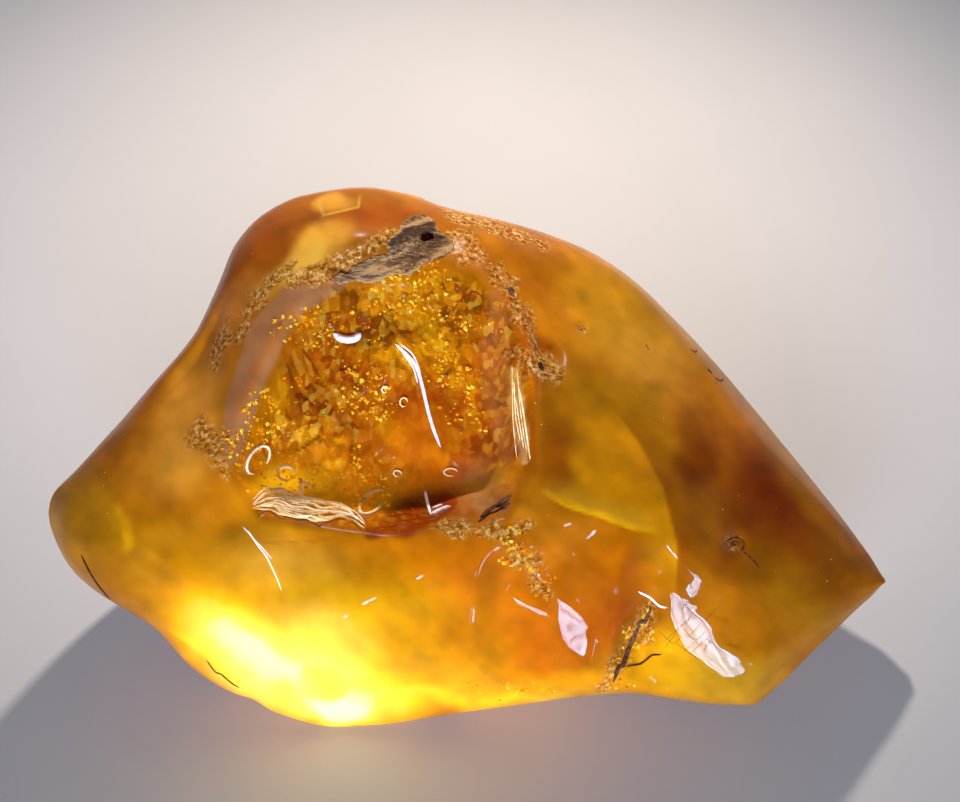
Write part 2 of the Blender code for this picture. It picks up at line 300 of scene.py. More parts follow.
def grid_mesh(name: str, points: Array, faces: list[Array]) -> Mesh:
    """Makes a mesh from arrays.

    Args:
        name: the mesh's name.
        points: vertices in metres, one row each.
        faces: arrays of vertex numbers, each array with one row per face of the same number of corners.

    Returns:
        The mesh, shaded smooth.
    """
    corners = np.concatenate([f.ravel() for f in faces])
    totals = np.concatenate([np.full(len(f), f.shape[1]) for f in faces])
    starts = np.concatenate([[0], np.cumsum(totals)[:-1]])
    mesh = bpy.data.meshes.new(name)
    mesh.vertices.add(len(points))
    mesh.vertices.foreach_set("co", points.astype(np.float32).ravel())
    mesh.loops.add(len(corners))
    mesh.loops.foreach_set("vertex_index", corners.astype(np.int32))
    mesh.polygons.add(len(totals))
    mesh.polygons.foreach_set("loop_start", starts.astype(np.int32))
    mesh.update(calc_edges=True)
    mesh.validate()
    mesh.shade_smooth()
    return mesh


def place_piece(mesh: Mesh, material: Material) -> Piece:
    """Puts a mesh into the scene as a piece of amber that rides on the lump's body.

    Args:
        mesh: its mesh, in metres.
        material: its finish.

    Returns:
        The piece.
    """
    mesh.materials.append(material)
    piece = bpy.data.objects.new(mesh.name, mesh)
    bpy.context.scene.collection.objects.link(piece)
    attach(piece, "root")
    LOG.info("%s: %d faces", piece.name, len(mesh.polygons))
    return piece


# ---- the lump
@dataclass(frozen=True)
class Oval:
    """A turned oval on the broad face.

    Attributes:
        x: its middle.
        rise: its middle.
        reach_x: how far it reaches along its length.
        reach_rise: how far it reaches across it.
        turn: its length's turn from the x axis in degrees.
    """

    x: float
    rise: float
    reach_x: float
    reach_rise: float
    turn: float

    def reaches(self, x: Array, rise: Array) -> tuple[Array, Array]:
        """How far places lie from its middle, along and across it, in its own reaches."""
        along, across = turned(x - self.x, rise - self.rise, self.turn)
        return along / self.reach_x, across / self.reach_rise


@dataclass(frozen=True)
class Mound(Oval):
    """A swelling or a hollow of the broad face, or a spot of light on it."""

    height: float

    def share(self, x: Array, rise: Array) -> Array:
        """1 in the middle, falling off as e to minus the squared distance in reaches."""
        along, across = self.reaches(x, rise)
        return np.exp(-along * along - across * across)


@dataclass
class Lump:
    """The whole piece of amber. Every length is in millimetres.

    The edges, swells and rims are curves along x. The window's walls are corners with the width of the wall
    that starts there; facet cuts are a point, turn, steepness and the stretch of x they keep to; furrows are
    a line, half width and depth; pits are a place, radius and depth; waves are three lengths, a phase and a
    height.
    """

    length: float = 110.0
    lean: float = math.radians(50.0)
    resting_level: float = -26.0
    top_edge: Points = (
        (-55, -6.8), (-54.5, -4.6), (-51.8, -1.6), (-46.6, 4.1), (-41.3, 10.3), (-36.1, 16.6),
        (-33.2, 22.6), (-30.8, 28.3), (-27.2, 32.2), (-22, 34.7), (-14, 35.8), (-8, 34.9),
        (-3.5, 33.3), (3.3, 31.8), (11.2, 29.5), (16.4, 27.3), (21.7, 23.8), (26.9, 18.9),
        (32.2, 13.3), (37.4, 7.2), (42.7, 0.7), (47.9, -5.9), (52.4, -12), (54.6, -15.5), (55, -16.2),
    )
    bottom_edge: Points = (
        (-55, -6.8), (-54.5, -9.3), (-51.8, -14.4), (-49.2, -16.8), (-44, -20.1), (-41.3, -21.9),
        (-36.1, -27.4), (-30.8, -30.6), (-28.6, -31.3), (-25.6, -33.1), (-17.7, -35.2), (-12.5, -34.9),
        (-2, -33.2), (5.9, -32), (13.8, -30.8), (20.3, -30.3), (26.9, -31.1), (32.2, -31.8),
        (36.6, -31.9), (40, -29.6), (45.3, -24.8), (50.5, -20.2), (52.8, -18.3), (54.6, -16.6), (55, -16.2),
    )
    front_swell: Points = (
        (-55, 0), (-52, 6), (-44, 12), (-32, 17.5), (-14, 23), (4, 22.5),
        (22, 18), (38, 11.5), (48, 6), (55, 0),
    )
    back_swell: Points = (
        (-55, 0), (-52, 6.5), (-44, 14), (-30, 23), (-8, 29), (12, 27),
        (28, 20.5), (40, 13), (48, 7), (55, 0),
    )
    edge_depth: Points = (
        (-55, -5), (-34, -2), (-14, 0), (20, 2), (36, 4), (55, 7),
    )
    edge_turn: Points = (
        (-55, 0), (-16, 0), (4, 3), (14, 6), (26, 8.5), (38, 7.5), (55, 0),
    )
    bottom_rim: Points = (
        (-55, 0.5), (-24, 0.5), (-4, 0.44), (14, 0.4), (28, 0.62), (40, 0.85), (55, 0.9),
    )
    top_rim_front: float = 0.56
    top_rim_back: float = 0.52
    rim_blend: Pair = (-0.7, 0.7)
    front_sag: float = 0.16
    back_sag: float = 0.22
    relief_fade: float = 0.22
    step_at: Points = (
        (-55, 0.16), (-50, 0.42), (-36, 0.36), (-31, 0.27), (9, 0.27), (14, 0.38),
        (48, 0.46), (55, 0.16),
    )
    length_samples: int = 8000
    front_points: int = 240
    back_points: int = 58
    rim_crowding: float = 0.45
    back_waves_at: float = 40.0

    window_walls: tuple[tuple[Pair, float], ...] = (
        ((-31, -1.6), 5.6), ((-29.5, 5), 6), ((-23, 19.5), 6), ((-16.5, 24), 7.5),
        ((-0.2, 26.4), 7.5), ((5.4, 21.4), 5.4), ((8.4, 13), 4.4), ((8.4, -0.5), 4.4),
        ((4.8, -7.2), 4), ((-10.5, -9.4), 4), ((-26.6, -7.2), 4.6),
    )
    window_depth: Points = ((-10, 11), (-4, 10.6), (8, 8), (18, 5.6), (26, 3.6))
    window_corners: float = 0.12
    wall_brink: float = -0.14
    wall_foot: float = 1.15
    keel: Points = ((-10.2, 15.6), (-3.4, 1.2))
    keel_height: float = 1.5
    keel_width: float = 4.6

    mounds: tuple[Mound, ...] = (
        Mound(-15.5, 30, 15, 5, 4, 3.2),
        Mound(-33.5, 14, 5, 10, -32, -3),
        Mound(-41, -3.5, 9, 5.5, 22, 1.6),
        Mound(24, 2, 17, 17, 0, 2.2),
        Mound(-20, -22, 12, 8, 0, 1.8),
        Mound(19.5, -21, 5, 9, -20, -1.5),
        Mound(9, -21, 6, 6, 0, 0.9),
        Mound(30, -23, 7, 6, 30, 1),
        Mound(11, -8.6, 4, 4, 0, 0.5),
    )
    facet_cuts: tuple[tuple[Pair, float, float, Pair], ...] = (
        ((-36.5, -21.5), -128, 1.15, (-55, 55)),
        ((11, -14), -73, 0.6, (5, 16)),
        ((29, -14.5), -98, 0.70, (25, 38)),
        ((2, -28.2), -92, 1.9, (-55, 55)),
        ((33, 3.2), 49, 0.82, (-55, 55)),
        ((-29, 21.5), 150, 0.9, (-55, 55)),
    )
    facet_softness: float = 1.6
    facet_runout: float = 2.8
    furrows: tuple[tuple[Points, float, float], ...] = (
        (((-3, 32.3), (3, 30.4), (9.6, 28)), 1.3, 1.7),
        (((23.4, -18.4), (20.4, -23.4), (17.6, -28.9)), 1.2, 2.6),
        (((22.6, -21), (21.6, -25.4), (20.8, -29.4)), 1.1, 1.5),
        (((-17.4, 24.6), (-9, 26.6), (-3.2, 28.4)), 1.5, 1.5),
        (((3.6, 25), (7.4, 19), (11, 12.2)), 1, 1.2),
        (((-39.5, -21.5), (-34, -27), (-30, -30.6)), 0.7, 0.9),
    )
    furrow_ends: float = 0.55
    pits: tuple[tuple[float, float, float, float], ...] = (
        (34.1, -10.5, 1.5, 1.3), (14.4, 17.2, 0.9, 0.7), (-32.6, 3, 2.4, 0.8), (9.7, 13.6, 2, 1.3),
        (-5.4, 28.8, 1.5, 1.8), (6.4, -8.4, 2.4, 1), (10.4, -13, 2, 0.7), (-2, -31.5, 1.6, 0.8),
    )
    waves: tuple[tuple[float, float, float, float, float], ...] = (
        (38, 31, 27, 0.4, 0.55), (23, 27, 33, 2.1, 0.40), (17, 15, 19, 4, 0.22),
        (12.5, 19, 11, 5.2, 0.14),
    )
    back_lumps: tuple[tuple[float, float, float, float], ...] = (
        (9, 24, 0.7, 2.2), (5.5, -7.5, 1.9, 1.3), (-14, 8, 0.4, 1.1),
    )

    def edge_curve(self, x: Array, points: Points) -> Array:
        """An edge of the broad face, read by angle round the length: so it can turn straight up at a tip."""
        turned = tuple((math.acos(max(-1.0, min(1.0, -2 * px / self.length))), rise) for px, rise in points)
        return curve_through(np.arccos(np.clip(-2 * x / self.length, -1.0, 1.0)), turned)

    def window_share(self, x: Array, rise: Array) -> Array:
        """How far into the window a place is: the least of its distances to the walls, in wall widths.

        Args:
            x, rise: the places.

        Returns:
            The share: 1 on the floor, 0 on the rim and less outside.
        """
        share = np.full(np.shape(x), 1.0)
        corners = [corner for corner, _ in self.window_walls]
        for i, ((ax, ay), width) in enumerate(self.window_walls):
            bx, by = corners[(i + 1) % len(corners)]
            inward = ((rise - ay) * (ax - bx) - (x - ax) * (ay - by)) / math.hypot(bx - ax, by - ay)
            share = softer_min(share, inward / width, self.window_corners)
        return share

    def window_sink(self, x: Array, rise: Array) -> Array:
        """Depth of the window: eased down its walls, less a keel along the line where two facets meet.

        Args:
            x, rise: the places.

        Returns:
            The depth.
        """
        gap, _, _ = distance_to_line(x, rise, self.keel)
        keel = self.keel_height * np.exp(-((gap / self.keel_width) ** 2) - gap / self.keel_width)
        depth = curve_through(rise, self.window_depth) - keel
        return depth * eased(self.window_share(x, rise), self.wall_brink, self.wall_foot)

    def furrow_depth(self, x: Array, rise: Array) -> Array:
        """Furrows, deepest in the middle of their length and eased to nothing at twice their half width.

        Args:
            x, rise: the places.

        Returns:
            The depth.
        """
        depth = np.zeros(np.shape(x))
        for points, half_width, size in self.furrows:
            gap, along, _ = distance_to_line(x, rise, points)
            shallower = self.furrow_ends + (1 - self.furrow_ends) * np.sin(math.pi * along)
            depth = np.maximum(depth, size * shallower * (1 - eased(gap, 0.0, 2 * half_width)))
        return depth

    def pit_depth(self, x: Array, rise: Array) -> Array:
        """Round-bottomed pits, eased to nothing at one and a half times their radius.

        Args:
            x, rise: the places.

        Returns:
            The depth.
        """
        depth = np.zeros(np.shape(x))
        for cx, cy, radius, size in self.pits:
            depth = np.maximum(depth, size * (1 - eased(np.hypot(x - cx, rise - cy), 0.0, 1.5 * radius)))
        return depth

    def unevenness(self, x: Array, rise: Array, depth: float) -> Array:
        """Slow waves that cross each other: sines of x bent by rise, times cosines of rise.

        Args:
            x, rise: the places.
            depth: how deep in the lump they are read.

        Returns:
            The height.
        """
        total = np.zeros(np.shape(x))
        for length_x, length_rise, length_depth, phase, height in self.waves:
            bend = 1.3 * np.sin(2 * math.pi * rise / length_rise)
            total = total + height * np.sin(2 * math.pi * x / length_x + phase + bend) * np.cos(
                2 * math.pi * rise / length_rise + 2 * math.pi * depth / length_depth + phase
            )
        return total

    def facet_level(self, px: float, py: float) -> float:
        """The share of the front's swell that the face has at a point: (1 - up^2)^(1/2).

        Args:
            px, py: the point.

        Returns:
            The share.
        """
        low, high = self.edge_curve(px, self.bottom_edge), self.edge_curve(px, self.top_edge)
        up = (py - (low + high) / 2) / ((high - low) / 2)
        return float((1 - up * up) ** 0.5)

    def rim_profile(self, x: Array, up: Array, top_power: float) -> Array:
        """Cross-section of half a ring, (1 - up^2) to a power that turns from round to sharp along x."""
        low_power = curve_through(x, self.bottom_rim)
        return (1 - up * up) ** (low_power + (top_power - low_power) * eased(up, *self.rim_blend))

    def front_height(self, x: Array, rise: Array, up: Array) -> Array:
        """How far the broad face stands out: swell, mounds and waves, cut by facets, less the hollows.

        Args:
            x, rise: the places.
            up: how far up between the edges they are.

        Returns:
            The height over the plane of the edges.
        """
        inside = eased(1 - np.abs(up), 0.0, self.relief_fade)
        sag = 1.0 - self.front_sag * (1 - up * up) * up
        height = curve_through(x, self.front_swell) * self.rim_profile(x, up, self.top_rim_front) * sag
        for mound in self.mounds:
            height = height + mound.height * mound.share(x, rise) * inside
        for (px, py), turn, steepness, (first, last) in self.facet_cuts:
            reach = (x - px) * math.cos(math.radians(turn)) + (rise - py) * math.sin(math.radians(turn))
            runout = np.maximum(np.maximum(first - x, x - last), 0.0) / self.facet_runout
            ground = curve_through(px, self.front_swell) * self.facet_level(px, py)
            height = softer_min(height, ground - steepness * reach + runout * runout, self.facet_softness)
        height = height + self.unevenness(x, rise, 0.0) * inside
        hollows = self.window_sink(x, rise) + self.furrow_depth(x, rise) + self.pit_depth(x, rise)
        return height - hollows * inside

    def back_height(self, x: Array, rise: Array, up: Array) -> Array:
        """How far the rounded back stands out: its swell, heavier at the bottom, with broad sine lumps.

        Args:
            x, rise: the places.
            up: how far up between the edges they are.

        Returns:
            The height over the plane of the edges.
        """
        lumps = self.unevenness(x, rise, self.back_waves_at)
        for length_x, length_rise, phase, size in self.back_lumps:
            lumps = lumps + size * np.sin(x / length_x + rise / length_rise + phase)
        sag = 1.0 - self.back_sag * (1 - up * up) * up
        return (curve_through(x, self.back_swell) * sag + lumps) * self.rim_profile(x, up, self.top_rim_back)

    def stations(self) -> Array:
        """The x of each ring, spaced so that the steps follow step_at.

        Returns:
            The x of the rings, without the two tips.
        """
        fine = np.linspace(-self.length / 2, self.length / 2, self.length_samples)
        count = np.concatenate([[0.0], np.cumsum(np.diff(fine) / curve_through(fine[1:], self.step_at))])
        rings = int(round(count[-1]))
        return np.interp(np.linspace(0, count[-1], rings + 1)[1:-1], count, fine)

    def around(self, points: int) -> Array:
        """Heights from -1 to 1 up half a ring: an even share plus a sine share, which crowds the rims."""
        even = np.linspace(-1.0, 1.0, points + 1)
        return (1 - self.rim_crowding) * even + self.rim_crowding * np.sin(math.pi * even / 2)

    def stand_up(self, x: Array, rise: Array, depth: Array) -> Array:
        """Turns x, rise and depth into X, Y and Z with the face leaning back and the resting face at Z 0.

        Args:
            x, rise, depth: the places.

        Returns:
            The same places in millimetres, with X, Y and Z last.
        """
        y = rise * math.sin(self.lean) + depth * math.cos(self.lean)
        z = rise * math.cos(self.lean) - depth * math.sin(self.lean) - self.resting_level
        return np.stack(np.broadcast_arrays(x, y, z), axis=-1)

    def outward(self) -> Array:
        """The way that the broad face looks."""
        return np.array([0.0, -math.cos(self.lean), math.sin(self.lean)])

    def heights(self, x: Array) -> tuple[Array, Array]:
        """The rise half way between the two edges, and half of the height between them."""
        low, high = self.edge_curve(x, self.bottom_edge), self.edge_curve(x, self.top_edge)
        return (low + high) / 2, (high - low) / 2

    def up(self, x: Array, rise: Array) -> Array:
        """How far up between the two edges a place is: -1 at the bottom edge and 1 at the top one."""
        middle, half = self.heights(x)
        return (rise - middle) / half

    def edge_plane(self, x: Array, up: Array) -> Array:
        """Depth of the bent and turned plane that the edges lie in."""
        return curve_through(x, self.edge_depth) + curve_through(x, self.edge_turn) * up

    def face_depth(self, x: Array, rise: Array) -> Array:
        """Depth of the broad face, without its fine relief."""
        up = np.clip(self.up(x, rise), -1.0, 1.0)
        return self.edge_plane(x, up) - self.front_height(x, rise, up)

    def back_depth(self, x: Array, rise: Array, up: Array) -> Array:
        """Depth of the rounded back."""
        return self.edge_plane(x, up) + self.back_height(x, rise, up)

    def rings(self) -> tuple[Array, Array, Array, Array]:
        """Lays out the rings that the skin is made of.

        Returns:
            Four grids of ring by place: x, rise, how far up between the edges from -1 to 1, and whether the
            place is on the broad face. A ring goes up its front and down its back.
        """
        front_up, back_up = self.around(self.front_points)[:-1], self.around(self.back_points)[::-1][:-1]
        up = np.concatenate([front_up, back_up])[None, :]
        x = self.stations()[:, None]
        middle, half = self.heights(x)
        rise = middle + half * up
        is_front = (np.arange(up.shape[1]) < len(front_up))[None, :]
        return x + 0 * rise, rise, up + 0 * rise, is_front & (rise == rise)


class Tone(Enum):
    """The colours painted on the amber, from the palest cloud to the deepest clear part: mostly its own
    colours, but MAUVE_SHEEN is a painted sheen, PIT_SHADE painted shade, GARNET partly painted shade, and the
    pale yellows partly painted light where they lie in the heel and lower rim.
    """

    IVORY = "#FFE468"
    LEMON = "#F6B80A"
    BUTTER = "#F0B648"
    GOLD = "#DC9606"
    STRAW = "#CE9C20"
    AMBER = "#C88C08"
    OLIVE = "#AA7A0A"
    HONEY = "#AE6E0C"
    TOFFEE = "#A0601A"
    MARIGOLD = "#CC7404"
    ORANGE = "#BC6A04"
    RUST = "#A04806"
    COGNAC = "#8A4404"
    PLUM = "#6E2C04"
    # The deep red at the window's foot: partly the amber's own, partly painted shade of the deep hollow.
    GARNET = "#8C2E06"
    # Painted sheen: the pale grey-lilac reflection of the room on polished slopes.
    MAUVE_SHEEN = "#AC8060"
    FAWN = "#BE7C40"
    SAND = "#F6CC88"
    # Painted shade: the black in the deep pit through the crust.
    PIT_SHADE = "#140A06"

    def paint(self) -> Array:
        """The colour as linear red, green and blue."""
        return np.array(linear(self.value))


@dataclass(frozen=True)
class Cloud(Oval):
    """A patch of colour on the broad face: mostly colour in the amber, some of it painted light or shade.

    Attributes:
        tone: its colour.
        strength: how much of it there is in the middle.
        edge: how crisp its edge is: 1 for a soft one, more for a crisper one.
    """

    tone: Tone
    strength: float = 1.0
    edge: float = 1.3

    def share(self, x: Array, rise: Array) -> Array:
        """How much the patch covers a place: e to minus the distance in reaches, raised to twice edge."""
        along, across = self.reaches(x, rise)
        return self.strength * np.exp(-((along * along + across * across) ** self.edge))


@dataclass(frozen=True)
class Fracture:
    """An inner crack that the light stops at: crisp along its line, its colour fading out on one side.

    Attributes:
        points: the line, with the coloured side to its left.
        fade: how far the colour reaches.
        tone: the colour.
        strength: how strong the colour is next to the line.
        crispness: the distances from the line, to its left, between which the colour sets in.
    """

    points: Points
    fade: float
    tone: Tone
    strength: float = 0.8
    crispness: Pair = (-0.1, 0.3)

    def share(self, x: Array, rise: Array) -> Array:
        """How much of the colour a place has: none to the right of the line, most just left of it.

        Args:
            x, rise: the places.

        Returns:
            The share.
        """
        gap, along, side = distance_to_line(x, rise, self.points)
        crisp = eased(side * gap, *self.crispness)
        return self.strength * fading_ends(along, 6) * crisp * (1 - eased(gap, 0.0, self.fade))


@dataclass(frozen=True)
class Band:
    """A torn band on the broad face.

    Attributes:
        points: the line down its middle.
        half_width: how far it reaches to either side.
        tear: how torn its edge is.
        seed: which random edge.
        rim: the distances, in half widths, between which it eases to nothing.
        ends: how wide it still is at its ends, as a share.
    """

    points: Points
    half_width: float
    tear: float
    seed: int
    rim: Pair = (0.5, 1.4)
    ends: float = 0.55

    def share(self, x: Array, rise: Array) -> Array:
        """1 on the line, eased to 0 at a torn edge about a half width away.

        Args:
            x, rise: the places.

        Returns:
            The share.
        """
        gap, along, _ = distance_to_line(x, rise, self.points)
        wide = self.half_width * (self.ends + (1 - self.ends) * np.sin(math.pi * along))
        torn = FaceNoise(1.5 * self.half_width, self.tear, self.seed).read(x, rise)
        return 1 - eased(gap / wide + torn, *self.rim)


def strongest(bands: tuple[Band, ...], x: Array, rise: Array) -> Array:
    """The strongest of several bands."""
    return np.max([band.share(x, rise) for band in bands], axis=0)


# ---- the fine relief of the broad face
@dataclass(frozen=True)
class Flat:
    """A shallow facet, a few millimetres across, that the grinding left on the broad face.

    Attributes:
        x: its middle.
        rise: its middle.
        reach_along: how far it reaches along its length.
        reach_across: how far it reaches to either side.
        turn: its length's turn from the x axis in degrees.
        slope_x: how fast it falls away along x.
        slope_rise: how fast it falls away up the rise.
        bend: how fast its slope changes across it, per millimetre.
        taper: how much wider it is at its low end than in its middle, as a share.
        torn: how its width wavers, as a share.
    """

    x: float
    rise: float
    reach_along: float
    reach_across: float
    turn: float
    slope_x: float
    slope_rise: float
    bend: float
    taper: float = 0.0
    torn: FaceNoise = FaceNoise(2.6, 0.3, Seed.FLAT_RIM)

    def laid(self, lump: Lump, x: Array, rise: Array, depth: Array) -> Array:
        """The face with the facet in it: a bent plane through the lump's own surface, its rim eased in.

        Args:
            lump: the lump.
            x, rise: the places.
            depth: the depth of the face there.

        Returns:
            The new depth.
        """
        right, up = x - self.x, rise - self.rise
        along, across = turned(right, up, self.turn)
        wider = self.taper * np.clip(along / self.reach_along, -1.0, 1.0)
        wide = self.reach_across * (1 + wider + self.torn.read(x, rise))
        share = np.exp(-(((along / self.reach_along) ** 2 + (across / wide) ** 2) ** 4))
        level = lump.face_depth(np.array([self.x]), np.array([self.rise]))[0]
        plane = level + self.slope_x * right + self.slope_rise * up + 0.5 * self.bend * across * across
        return blended(depth, plane, share)


@dataclass
class Face:
    """The broad face with its fine relief, from which the skin and all that lies on it are read.

    Attributes:
        lump: the form that the relief lies on.
        shift: from the lump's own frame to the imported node's, in millimetres.
        crazing: layers of chips in the window, with their heights.
        glossy_floor: where the window stayed whole.
        comb_at: where its right wall is fibrous.
        comb_height: how deep the fibres are.
        ridges: crests that catch light, as line, half width and height.
        flats: ground facets, which mirror the windows.
        ripple_lengths: the polish's ripples, as length and height.
        torn: how the crazed part's outline wavers.
        crazed_rim: the window shares between which the crazing sets in.
        notch: depth and width of the notches round the chips, in cells.
        fibre_noise: the fibres of the right wall.
        fibre_drawn: how much longer than wide they are.
    """

    lump: Lump = field(default_factory=Lump)
    shift: Array = field(default_factory=lambda: np.zeros(3))
    crazing: tuple[tuple[Cells, float], ...] = (
        (Cells(5.2, 41), 0.6), (Cells(2.4, 42), 0.5), (Cells(1.2, 43), 0.3),
    )
    glossy_floor: tuple[Mound, ...] = (
        Mound(-6.5, 4, 10, 9.5, 0, 0.9),
        Mound(-2, -4, 8, 4.5, 0, 0.9),
        Mound(-29.5, 8.5, 4.4, 15, -28, 1),
    )
    comb_at: Mound = Mound(6.4, 8, 3.6, 11, 4, 1)
    comb_height: float = 0.28
    ridges: tuple[tuple[Points, float, float], ...] = (
        (((-9.8, 15.1), (-7.2, 12.5), (-6.1, 8.3), (-3.9, 1.7)), 0.6, 0.38),
    )
    flats: tuple[Flat, ...] = (
        Flat(12.8, -21.2, 6.4, 2.1, -66, 0.087, -0.32, 0.006, 0.35),
        Flat(29.9, -23.4, 9.8, 3.3, -51, 0.27, -0.33, 0.005, 0.05),
    )
    ripple_lengths: Points = ((6.0, 0.016), (2.3, 0.003))
    torn: FaceNoise = FaceNoise(5.0, 0.12, Seed.CRAZED_RIM)
    crazed_rim: Pair = (0.05, 0.45)
    notch: Pair = (0.08, 0.12)
    fibre_noise: FaceNoise = FaceNoise(0.9, 1.0, Seed.COMB)
    fibre_drawn: float = 12.0

    def crazed(self, x: Array, rise: Array) -> Array:
        """How crazed the face is: most on the window's upper and left slopes, little on its glossy floor.

        Args:
            x, rise: the places.

        Returns:
            The share, from 0 to 1.
        """
        inside = eased(self.lump.window_share(x, rise) + self.torn.read(x, rise), *self.crazed_rim)
        for calm in self.glossy_floor:
            inside = inside * (1 - calm.height * calm.share(x, rise))
        return inside

    def chips(self, x: Array, rise: Array, depth: Array) -> tuple[Array, Array]:
        """The chips that the window is broken into.

        Args:
            x: the places' x.
            rise: their rise.
            depth: their depth, which keeps chips from stretching down the walls.

        Returns:
            How deep each place lies by its chips, each a tilted plane with a notch round it, for a height
            of 1, and a random tone per chip from 0 to 1.
        """
        deep, tone = np.zeros(np.shape(x)), np.zeros(np.shape(x))
        for cells, height in self.crazing:
            margin, value, lean = cells.read(x + 0.3 * depth, rise)
            notch = self.notch[0] * (1 - eased(margin, 0.0, self.notch[1]))
            deep = deep + height * (0.45 * value + lean + notch)
            tone = tone + height * value
        return deep, tone / sum(height for _, height in self.crazing)

    def comb(self, x: Array, rise: Array) -> tuple[Array, Array]:
        """The fibrous right wall: where it is, and its height, a noise drawn out along the rise."""
        share = self.comb_at.share(x, rise) * eased(self.lump.window_share(x, rise), -0.4, 0.1)
        return share, self.fibre_noise.read(x + 0.06 * rise, rise / self.fibre_drawn)

    def depth(self, x: Array, rise: Array) -> Array:
        """Depth of the face: the lump's form and its flats, less chips, fibres, ridges and ripples.

        Args:
            x, rise: the places.

        Returns:
            The depth.
        """
        base = self.lump.face_depth(x, rise)
        for flat in self.flats:
            base = flat.laid(self.lump, x, rise, base)
        fade = eased(1 - np.abs(self.lump.up(x, rise)), 0.0, self.lump.relief_fade)
        chips, _ = self.chips(x, rise, base)
        share, fibres = self.comb(x, rise)
        fine = chips * self.crazed(x, rise) * (1 - 0.8 * share) - self.comb_height * share * fibres
        for points, half_width, height in self.ridges:
            gap, along, _ = distance_to_line(x, rise, points)
            near = np.exp(-((gap / (2 * half_width)) ** 4)) * fading_ends(along, 8)
            crest = self.lump.face_depth(*np.array(points).T)
            level = np.interp(along, np.linspace(0, 1, len(crest)), crest)
            fine = fine * (1 - near)
            base = blended(base, level - height * np.exp(-((gap / half_width) ** 2)), near)
        for i, (length, height) in enumerate(self.ripple_lengths):
            fine = fine - height * lattice_noise(on_plane(x, rise), length / 2, Seed.RIPPLES + i)
        return base + fine * fade

    def place(self, x: Array, rise: Array, proud: Array | float = 0.0) -> Array:
        """Places on the face in millimetres, standing proud of it straight towards the front."""
        return self.lump.stand_up(x, rise, self.depth(x, rise) - proud) + self.shift


